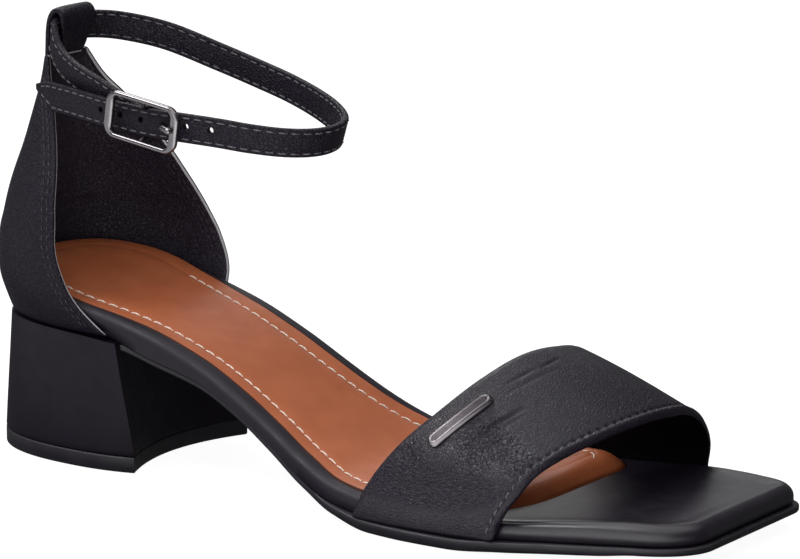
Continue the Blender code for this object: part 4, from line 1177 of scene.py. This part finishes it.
# soft troughs in the band from one point to another; a negative depth is a ridge
VAMP_CREASES = table(
    "across along to_across to_along wide depth",
    (0.300, 0.300, 0.370, 0.425, 2.2, -0.60),
    (0.315, 0.438, 0.415, 0.463, 0.8, 0.65),
    (0.280, 0.500, 0.335, 0.560, 2.0, -0.40),
    (0.330, 0.500, 0.400, 0.520, 0.7, 0.25),
    (0.290, 0.800, 0.250, 0.930, 3.0, -0.45),
    (0.300, 0.680, 0.250, 0.740, 1.6, 0.35),
    (0.240, 0.062, 0.200, 0.225, 0.6, 0.45),
    (0.235, 0.120, 0.205, 0.200, 0.5, -0.30),
    (0.220, 0.060, 0.215, 0.200, 0.6, 0.40),
    (0.540, 0.213, 0.595, 0.188, 0.5, 0.32),
    (0.465, 0.188, 0.530, 0.200, 0.6, 0.35),
    (0.440, 0.270, 0.560, 0.290, 0.8, 0.22),
)


def vamp_points(across, along):
    """Points of the band's outer face: across from lateral to medial, along from rear to front."""
    across, along = np.broadcast_arrays(np.asarray(across, float), np.asarray(along, float))
    rear = np.stack([VAMP[name + "_rear"](across) for name in "xyz"], axis=-1)
    front = np.stack([VAMP[name + "_front"](across) for name in "xyz"], axis=-1)
    points = rear * (1 - along)[..., None] + front * along[..., None]
    points[..., 2] += VAMP_CROWN * 4 * along * (1 - along) * np.sin(pi * np.clip(across, 0, 1))
    x, y, z = points[..., 0], points[..., 1], points[..., 2]
    lateral = y < 0
    half = np.where(lateral, side_half_width(x, "lateral"), side_half_width(x, "medial"))
    clear = np.maximum(np.abs(y), half + SEAT_GAP + LEATHER)
    low = 1 - smoothstep(*(SOLE["top"](x) + rise for rise in VAMP_SEAT), z)
    points[..., 1] = np.where(lateral, -1, 1) * (clear * low + np.abs(y) * (1 - low))
    points[..., 2] = np.maximum(z, SOLE["bottom"](x) + SEAT_GAP)
    return points


def crease_relief(across, along):
    """Outward relief of the listed creases."""
    at = np.stack((across * ACROSS_MM, along * ALONG_MM), axis=-1)
    relief = np.zeros(at.shape[:-1])
    for crease in VAMP_CREASES:
        start = np.array((crease.across * ACROSS_MM, crease.along * ALONG_MM))
        run = np.array((crease.to_across * ACROSS_MM, crease.to_along * ALONG_MM)) - start
        share = np.clip((at - start) @ run / (run @ run), 0, 1)
        apart = np.linalg.norm(at - start - share[..., None] * run, axis=-1)
        fade = CREASE_ENDS + (1 - CREASE_ENDS) * np.sin(pi * np.clip(share, 0.05, 0.95))
        relief -= crease.depth * fade * bell(apart, crease.wide)
    return relief


def edge_relief(outer, normals, from_front):
    """Relief of the turned front edge, drawn in by the stitches between it and the band."""
    path, _ = row_line(outer, normals, VAMP_STITCH, True)
    run = travel(path)
    run -= run[VAMP_TRIM]
    total = run[-1 - VAMP_TRIM]
    phase = run / total * int(total // VAMP_THREAD.pitch)
    pinch = EDGE_PINCH[0] + EDGE_PINCH[1] * np.cos(2 * pi * phase)[:, None]
    roll = EDGE_ROLL * np.sin(pi * np.clip(from_front / VAMP_STITCH, 0, 1))
    rounding = FRONT_ROUND[0] * bell(from_front, FRONT_ROUND[1])
    return roll - pinch * bell(from_front - VAMP_STITCH, PINCH_REACH) - rounding


def build_vamp():
    rows, cols = VAMP_GRID
    across, along = np.meshgrid(np.linspace(0, 1, rows), np.linspace(0, 1, cols), indexing="ij")
    outer = vamp_points(across, along)
    normals = grid_normals(outer, UP)
    width = np.array([travel(row)[-1] for row in outer])[:, None]
    from_front, from_rear = (1 - along) * width, along * width
    relief = crease_relief(across, along) + edge_relief(outer, normals, from_front)
    relief -= REAR_ROUND[0] * bell(from_rear, REAR_ROUND[1])
    seated = smoothstep(0.0, VAMP_FLAT, np.minimum(across, 1 - across) * ACROSS_MM)
    face = outer + normals * (relief * seated)[..., None]
    edge = np.minimum(from_front, from_rear)
    inner = outer - normals * (LEATHER - VAMP_SKIVE[0] * bell(edge, VAMP_SKIVE[1]))[..., None]
    shape = walled(face, inner, VAMP_RIM, VAMP_RIM_SLOTS)
    add_piece("vamp_band_leather", shape, [VAMP_LEATHER, BAND_LINING_SHADED], "vamp_band",
              sharp=WALL_SHARP)
    path, up = row_line(face, normals, VAMP_STITCH, True)
    part = slice(VAMP_TRIM, -VAMP_TRIM)
    stitches("vamp_stitches", path[part], up[part], VAMP_THREAD, THREAD_GREY)


BAR_END_POWER = 2.4  # squareness of the bar's round ends
BAR_STEP = 0.004  # step for directions on the band
BAR_TIP = 0.12  # half width left at its ends
# the bar's section: depth below its top, and inset; a raised rim round a sunk face
BAR_SECTION = [(1.3, 0.0), (0.95, 0.0), (0.8, 0.03), (0.2, 0.5), (0.06, 0.6), (0.0, 0.7), (0.0, 0.78),
               (0.08, 0.88), (0.08, 1.0)]
BAR_COLS = 7  # points across it, along it, and along the trial line
BAR_LINES = 61
BAR_TRIAL = 41
BAR_FULL = 4.1  # its width with the rim's rounding


def build_vamp_bar():
    """The plain metal bar, bent over the band beside its rear edge."""
    spread = np.linspace(-BAR_SPAN, BAR_SPAN, BAR_TRIAL)
    run = travel(vamp_points(BAR_ACROSS + spread, BAR_ALONG))
    half_span = BAR_SPAN * BAR_LENGTH / run[-1]
    half = BAR_FULL / 2
    levels = []
    for depth, inset in BAR_SECTION:
        grid = []
        for share in np.sin(arc(-90, 90, BAR_LINES)):
            at = BAR_ACROSS + half_span * share * (1 - 2 * inset / BAR_LENGTH)
            point = vamp_points(at, BAR_ALONG)
            over = unit(vamp_points(at + BAR_STEP, BAR_ALONG) - vamp_points(at - BAR_STEP, BAR_ALONG))
            ahead = vamp_points(at, BAR_ALONG + BAR_STEP) - vamp_points(at, BAR_ALONG - BAR_STEP)
            outward = unit(np.cross(ahead, over))
            beside = np.cross(outward, over)
            from_end = min(BAR_LENGTH / 2 * (1 - abs(share)), half)
            full = half * (1 - (1 - from_end / half) ** BAR_END_POWER) ** (1 / BAR_END_POWER)
            wide = max(BAR_TIP, full - inset)
            height = SEAT_GAP + BAR_THICK - depth
            middle = point + outward * height
            grid.append([middle + beside * wide * side for side in np.linspace(-1, 1, BAR_COLS)])
        levels.append(np.array(grid))
    vertices, faces = stacked(levels)
    cap = cap_count(levels[0])
    # the sunk top face takes the painted-shade metal
    slots = [0] * cap + [1] * cap + [0] * (len(faces) - 2 * cap)
    add_piece("vamp_bar_metal", (vertices, faces, slots), [BAR_METAL, BAR_SHADED_METAL], "vamp_bar",
              sharp=32)


# Strap loop

LOOP_PINCH = 0.55  # how much its wall thins at its two ends
LOOP_ENDS = 0.03  # and over what share of its length
LOOP_STEP = 0.7
LOOP_SHARES = np.concatenate(([0.0, 0.012, 0.03], np.linspace(0.06, 0.94, 27), [0.97, 0.988, 1.0]))


def build_strap_loop():
    """A tab folded over into a tunnel: its outer leg stands on the cup, its inner leg lies inside it."""
    line = spline_points(LOOP_ROWS, LOOP_STEP)
    run = unit(np.gradient(line, axis=0))
    aside = np.column_stack((-run[:, 1], run[:, 0])) * LOOP_WALL / 2
    base = LOOP_ROWS[0].z
    half, power = float(CUP["half"](base)), float(CUP["power"](base))
    back, front = float(CUP["back"](base)), float(CUP["lateral"](base))
    medial = np.interp(line[:, 1], LOOP_TAPER, LOOP_MEDIAL)
    rings = []
    for share in LOOP_SHARES:
        across = LOOP_LATERAL + share * (medial - LOOP_LATERAL)
        bow = (front - back) * (1 - (1 - (np.abs(across) / half) ** power) ** (1 / power))
        middle = line + np.column_stack((back + bow, np.zeros(len(line))))
        near_end = np.clip(1 - min(share, 1 - share) / LOOP_ENDS, 0, 1)
        wall = aside * (1 - LOOP_PINCH * near_end ** 2)
        section = np.vstack((middle + wall, (middle - wall)[::-1]))
        across = np.concatenate((across, across[::-1]))
        rings.append(np.column_stack((section[:, 0], across, section[:, 1])))
    vertices, faces = swept(rings)
    sides = len(rings[0])
    indices = np.zeros(len(faces), int)
    indices[2 + len(line) - 2::sides] = 1
    indices[2 + len(line) - 1::sides] = 1
    add_piece("strap_loop_leather", (vertices, faces, indices.tolist()), [UPPER, EDGE],
              "strap_loop", sharp=70)


# Ankle strap

STRAP_STITCH = 1.15  # distance of the stitch rows from the strap's edges
STRAP_ROUND = 0.62  # rounding of its long edges
STRAP_THREAD = Thread(3.5, 2.75, 0.22, 0.13, 0.0)
# its face near a stitch row: distance from the row, and depth there
STRAP_GROOVE = [(-0.4, 0.02), (-0.2, 0.08), (0.0, 0.12), (0.2, 0.08), (0.45, 0.0)]
STRAP_CROWN = 0.04
STRAP_STEP = 0.9  # between sections
FOLD_STEPS = 13  # points round the fold
STRAP_SINK = 0.1  # depth of the stitch rows in the leather
HOLE_CUT = 3.0  # half length of the holes' cutters
TIP_MARGIN = 1.6  # end of the stitch rows before the free tip
TACK_X = 44.0  # two upright stitches hold the fixed part here
TACK_RISE = 1.1
TACK_SEARCH = 60  # sections among which that place lies
TACK_THREAD = Thread(1.5, 0.1, 0.2, 0.16, 2.2)


def buckle_axes():
    """The buckle's place: centre, direction towards the toe, direction up the strap, outward."""
    centre = np.array(BUCKLE_ROW[:3])
    forward = unit(np.array(RING_ROWS[-1][:3]) - np.array(FREE_ROWS[0][:3]))
    upward = unit(UP - forward[2] * forward)
    return centre, forward, upward, np.cross(forward, upward)


def at_buckle(run, rise, out):
    centre, forward, upward, outward = buckle_axes()
    return centre + forward * run + upward * rise + outward * out


def bar_depth():
    """How far the centre bar lies behind the free strap's middle."""
    return STRAP_THICK / 2 + SEAT_GAP + STRAP_THICK + SEAT_GAP + CENTRE_BAR


def strap_route(step):
    """Centre line from the folded end behind the buckle to the free tip, with the lean at each point."""
    depth = bar_depth()
    turn_radius = CENTRE_BAR + SEAT_GAP + STRAP_THICK / 2
    behind = -depth - turn_radius
    fold = [at_buckle(-FOLD_RETURN, 0, behind), at_buckle(-FOLD_RETURN / 2, 0, behind)]
    for turn in arc(-90, 90, FOLD_STEPS):
        fold.append(at_buckle(turn_radius * cos(turn), 0, -depth + turn_radius * sin(turn)))
    fold.append(at_buckle(-FOLD_RUN, 0, -depth + turn_radius))
    fold_rows = [(*point, 0.0) for point in fold]
    smooth = spline_points([fold_rows[-1], *FIXED_ROWS, *RING_ROWS, BUCKLE_ROW, *FREE_ROWS], step)
    return np.vstack((np.array(fold_rows[:-1]), smooth)), len(fold_rows) - 1


def strap_frames(route):
    """Position, width direction and direction towards the leg at each point of the strap."""
    points = route[:, :3]
    along = unit(np.gradient(points, axis=0))
    upright = unit(UP - along[:, 2:3] * along)
    inward = np.cross(along, upright)
    lean = np.radians(route[:, 3:4])
    upward = upright * np.cos(lean) + inward * np.sin(lean)
    return points, upward, np.cross(along, upward)


def strap_limits(run):
    """Lower and upper edge of the strap along its run, with the slanted cut at its free end."""
    share = np.clip((run[-1] - run) / TIP_CUT, 0.0, 1.0)
    width = TIP_WIDTH + (STRAP_WIDTH - TIP_WIDTH) * share ** TIP_POWER
    high = STRAP_WIDTH / 2 - TIP_DROP * (1 - share) ** 2
    return np.maximum(high - width, -STRAP_WIDTH / 2), high


def strap_section(low, high):
    """Half a section from the strap's lower edge to its upper one: height, distance from the middle."""
    thick = STRAP_THICK / 2
    turns = np.radians((0, 25, 50, 70, 90))
    points = [(low + STRAP_ROUND * (1 - cos(t)), thick - STRAP_ROUND * (1 - sin(t))) for t in turns]
    row = min(STRAP_STITCH, (high - low) / 3)
    for at, sink in STRAP_GROOVE:
        points.append((low + max(row + at, STRAP_ROUND + 0.02 * (at + 1)), thick - sink))
    mirrored = [(low + high - u, n) for u, n in reversed(points)]
    return np.array([*points, ((low + high) / 2, thick + STRAP_CROWN), *mirrored])


def slot_block():
    """The slit that lets the prong through the folded end."""
    low, high = -bar_depth() - SLOT_DEPTH, -STRAP_THICK / 2 - SLOT_LEFT
    half = SLOT_WIDTH / 2
    corners = []
    for run in (SLOT_MIDDLE - SLOT_LENGTH / 2, SLOT_MIDDLE + SLOT_LENGTH / 2):
        around = ((-half, low), (half, low), (half, high), (-half, high))
        corners.append([at_buckle(run, rise, out) for rise, out in around])
    return swept(corners)


def build_strap():
    route, fold_end = strap_route(STRAP_STEP)
    points, upward, inward = strap_frames(route)
    run = travel(points)
    low, high = strap_limits(run)
    rings = []
    for k in range(len(route)):
        half = strap_section(low[k], high[k])
        section = np.vstack((half, half[::-1] * (1, -1)))
        rings.append(points[k] + section[:, :1] * upward[k] + section[:, 1:] * inward[k])
    strap = add_piece("ankle_strap_leather", swept(rings), [UPPER], "ankle_strap",
                      sharp=80)
    at_row = np.all(np.isclose(route, BUCKLE_ROW), axis=1)
    prong_hole = run[np.flatnonzero(at_row)[0]] - PRONG_RUN
    for k in HOLE_PLACES:
        at = [prong_hole + HOLE_PITCH * k]
        place, up, across = (resample(values, at, run)[0] for values in (points, upward, inward))
        radius = HOLE_RADIUS if k else PRONG_FULL + PRONG_SEAT
        middle = place + up * (HOLE_RISE if k else 0.0)
        cut(strap, tube([middle - across * HOLE_CUT, middle + across * HOLE_CUT], radius, ROUND_SIDES))
    cut(strap, slot_block())
    part = slice(fold_end + 2, int(np.searchsorted(run, run[-1] - TIP_MARGIN)))
    for face, sign in (("outer", -1), ("inner", 1)):
        skin = inward * (sign * (STRAP_THICK / 2 - STRAP_SINK))
        for row, edge in (("upper", high - STRAP_STITCH), ("lower", low + STRAP_STITCH)):
            path = points + upward * edge[:, None] + skin
            stitches(f"strap_stitches_{face}_{row}", path[part], sign * inward[part], STRAP_THREAD,
                     THREAD_GREY)
    tack = fold_end + int(np.argmin(np.abs(points[fold_end:fold_end + TACK_SEARCH, 0] - TACK_X)))
    part = slice(tack - 2, tack + 3)
    path = points + upward * TACK_RISE - inward * (STRAP_THICK / 2)
    stitches("strap_tack_stitches", path[part], -inward[part], TACK_THREAD, THREAD_GREY)


# Buckle

RAIL_HALF = 0.75  # half width of the buckle's long rails
END_HALF = 1.35  # half width of its end bars
WIRE_RISE = 0.9  # its half thickness as a share of the wire's radius
WIRE_SQUARE = 0.8  # squareness of its section
FRAME_LIFT = 0.5  # how far the frame rides up on the strap
FRAME_TILT = radians(-5.0)  # and how it hangs on it, toe end down
LEG_REACH = 0.25  # how far the middle of the centre bar's legs lies outside the strap's edges
CORNER_STEPS = 14  # points round a corner of the frame, and round its wire
WIRE_SIDES = 24
WIRE_STEP = 0.5  # between points of the centre bar, and of the prong
PRONG_STEP = 0.35
PRONG_TIP = 0.7  # length of its rounded end


def squared(values):
    return np.copysign(np.abs(values) ** WIRE_SQUARE, values)


def tilted(point):
    """A place in the frame's plane, as the frame hangs on the strap."""
    run = point[0] * cos(FRAME_TILT) - point[1] * sin(FRAME_TILT)
    return run, point[0] * sin(FRAME_TILT) + point[1] * cos(FRAME_TILT) + FRAME_LIFT


def build_buckle():
    """A rounded rectangle of satin wire over the strap, with a dropped centre bar under it."""
    out = STRAP_THICK / 2 + SEAT_GAP + BUCKLE_WIRE
    half_run = BUCKLE_LENGTH / 2 - BUCKLE_WIRE
    half_rise = BUCKLE_HEIGHT / 2 - BUCKLE_WIRE
    corner = BUCKLE_CORNER - BUCKLE_WIRE
    plan = []
    for quarter, (sx, sy) in enumerate(((1, 1), (-1, 1), (-1, -1), (1, -1))):
        for turn in arc(0, 90, CORNER_STEPS) + quarter * pi / 2:
            along = sx * (half_run - corner) + corner * cos(turn)
            plan.append((along, sy * (half_rise - corner) + corner * sin(turn)))
    plan = np.array(plan)
    run = np.roll(plan, -1, axis=0) - np.roll(plan, 1, axis=0)
    away = unit(np.column_stack((run[:, 1], -run[:, 0])))
    turns = np.linspace(0, 2 * pi, WIRE_SIDES, endpoint=False)
    rings = []
    for point, aside in zip(plan, away):
        at_end = aside[0] ** 2
        wide = RAIL_HALF + (END_HALF - RAIL_HALF) * at_end
        reach = (BUCKLE_WIRE - RAIL_HALF) * (1 - at_end) + wide * squared(np.cos(turns))
        rise = BUCKLE_WIRE * WIRE_RISE * squared(np.sin(turns))
        rings.append([at_buckle(*tilted(point + aside * r), out + h) for r, h in zip(reach, rise)])
    add_piece("buckle_frame_metal", swept(rings, closed=True), [METAL], "buckle_frame",
              sharp=70)
    depth = -bar_depth()
    leg = STRAP_WIDTH / 2 + LEG_REACH
    rail = BUCKLE_HEIGHT / 2 - RAIL_HALF
    half_bar = [(leg, out - BUCKLE_WIRE), (leg, depth + BAR_CORNER), (leg - BAR_CORNER, depth)]
    bar = [at_buckle(*tilted((0, rail)), out), *(at_buckle(0, rise, at) for rise, at in half_bar)]
    bar += [at_buckle(0, -rise, at) for rise, at in reversed(half_bar)]
    bar.append(at_buckle(*tilted((0, -rail)), out))
    # the centre bar takes the painted-shade metal
    add_piece("buckle_centre_bar", tube(spline_points(bar, WIRE_STEP), CENTRE_BAR), [BAR_SHADED_METAL])


def build_prong():
    """A pin hooked round the centre bar, up through the strap's hole and onto the front bar."""
    depth = -bar_depth()
    wrap = CENTRE_BAR + SEAT_GAP + PRONG_RADIUS
    run_and_out = [(wrap * cos(turn), depth + wrap * sin(turn)) for turn in np.radians(PRONG_HOOK)]
    run_and_out += [(PRONG_RUN + run, out) for run, out in PRONG_STEM]
    top = STRAP_THICK / 2 + SEAT_GAP + 2 * BUCKLE_WIRE + PRONG_RADIUS
    bar_run = BUCKLE_LENGTH / 2 - BUCKLE_WIRE
    run_and_out += [(bar_run - PRONG_REST, top), (bar_run + PRONG_PAST, top)]
    route = spline_points([at_buckle(run, 0, out) for run, out in run_and_out], PRONG_STEP)
    pin = tube(route, PRONG_FULL, ROUND_SIDES, tip=PRONG_TIP)
    add_piece("buckle_prong_metal", pin, [METAL], "buckle_prong")


for build in (build_outsole, build_footbed, build_insole, build_heel, build_heel_cup, build_vamp,
              build_vamp_bar, build_strap_loop, build_strap, build_buckle, build_prong):
    build()


# Stage, light and camera

FLOOR_REACH = 6.0
FLOOR_DROP = 0.0002
FLOOR_GLOW = 0.95
FLOOR_GREY = (0.18, 0.18, 0.18)
WORLD_STRENGTH = 0.12
SOFTBOXES = table(
    "name place aim wide high brightness",
    ("overhead", (-0.15, -0.1, 1.0), (-0.15, -0.1, 0.0), 2.0, 1.4, 1.5),
    ("key", (-0.47, -0.38, 0.85), (0.05, -0.03, 0.03), 0.4, 0.4, 12.0),
    ("front", (0.3, -1.3, 0.45), (0.05, 0.0, 0.1), 1.6, 0.9, 1.9),
    ("toe card", (0.55, -0.653, 0.002), (0.55, -0.653, 1.0), 1.1, 1.21, 2.7),
    ("heel card", (-0.55, -0.66, 0.002), (-0.55, -0.66, 1.0), 1.1, 1.2, 1.05),
    ("left", (-1.2, -0.35, 0.3), (-0.1, -0.03, 0.08), 0.7, 0.6, 0.6),
    ("back", (-0.85, 1.3, 0.74), (0.0, 0.0, 0.05), 0.8, 0.5, 0.95),
    ("rim", (-0.65, 0.55, 0.72), (-0.06, -0.03, 0.1), 0.3, 0.3, 7.0),
)
CAMERA_AZIMUTH = radians(34.74)
CAMERA_ELEVATION = radians(12.76)
CAMERA_DISTANCE = 1.2
CAMERA_LENS = 195.815
SENSOR_WIDTH = 36.0
VIEW_REACH = 20.0
CAMERA_TARGET = (128.23, 0.0, 60.9)  # in the shoe's layout


def add_floor():
    material, shader = new_material("pale floor", FLOOR_GREY, 0.9, 0.1)
    shader.inputs["Emission Color"].default_value = (1.0, 1.0, 1.0, 1.0)
    shader.inputs["Emission Strength"].default_value = FLOOR_GLOW
    mesh = bpy.data.meshes.new("floor")
    corners = [(x * FLOOR_REACH, y * FLOOR_REACH, 0) for x, y in ((-1, -1), (1, -1), (1, 1), (-1, 1))]
    mesh.from_pydata(corners, [], [(0, 1, 2, 3)])
    mesh.materials.append(material)
    floor = add_object("floor", mesh)
    floor.location.z = -FLOOR_DROP
    floor.visible_diffuse = False
    floor.visible_glossy = False


def add_light(box):
    lamp = bpy.data.lights.new(box.name, "AREA")
    lamp.shape = "RECTANGLE"
    lamp.size, lamp.size_y = box.wide, box.high
    lamp.energy = box.brightness * pi * box.wide * box.high
    item = add_object(box.name, lamp)
    item.visible_camera = False
    item.location = box.place
    item.rotation_euler = (Vector(box.aim) - Vector(box.place)).to_track_quat("-Z", "Y").to_euler()


def add_world():
    world = bpy.data.worlds.new("studio")
    world.use_nodes = True
    background = world.node_tree.nodes["Background"]
    background.inputs["Color"].default_value = (1.0, 1.0, 1.0, 1.0)
    background.inputs["Strength"].default_value = WORLD_STRENGTH
    bpy.context.scene.world = world


def add_camera():
    flat = cos(CAMERA_ELEVATION)
    back = Vector((sin(CAMERA_AZIMUTH) * flat, -cos(CAMERA_AZIMUTH) * flat, sin(CAMERA_ELEVATION)))
    data = bpy.data.cameras.new("camera")
    data.sensor_width = SENSOR_WIDTH
    data.lens = CAMERA_LENS
    data.clip_end = VIEW_REACH
    camera = add_object("camera", data)
    camera.location = Vector((np.array(CAMERA_TARGET) - CENTRE) * MM) + back * CAMERA_DISTANCE
    camera.rotation_euler = (-back).to_track_quat("-Z", "Y").to_euler()
    bpy.context.scene.camera = camera


add_floor()
for softbox in SOFTBOXES:
    add_light(softbox)
add_world()
bpy.context.scene.view_settings.view_transform = "Standard"
add_camera()
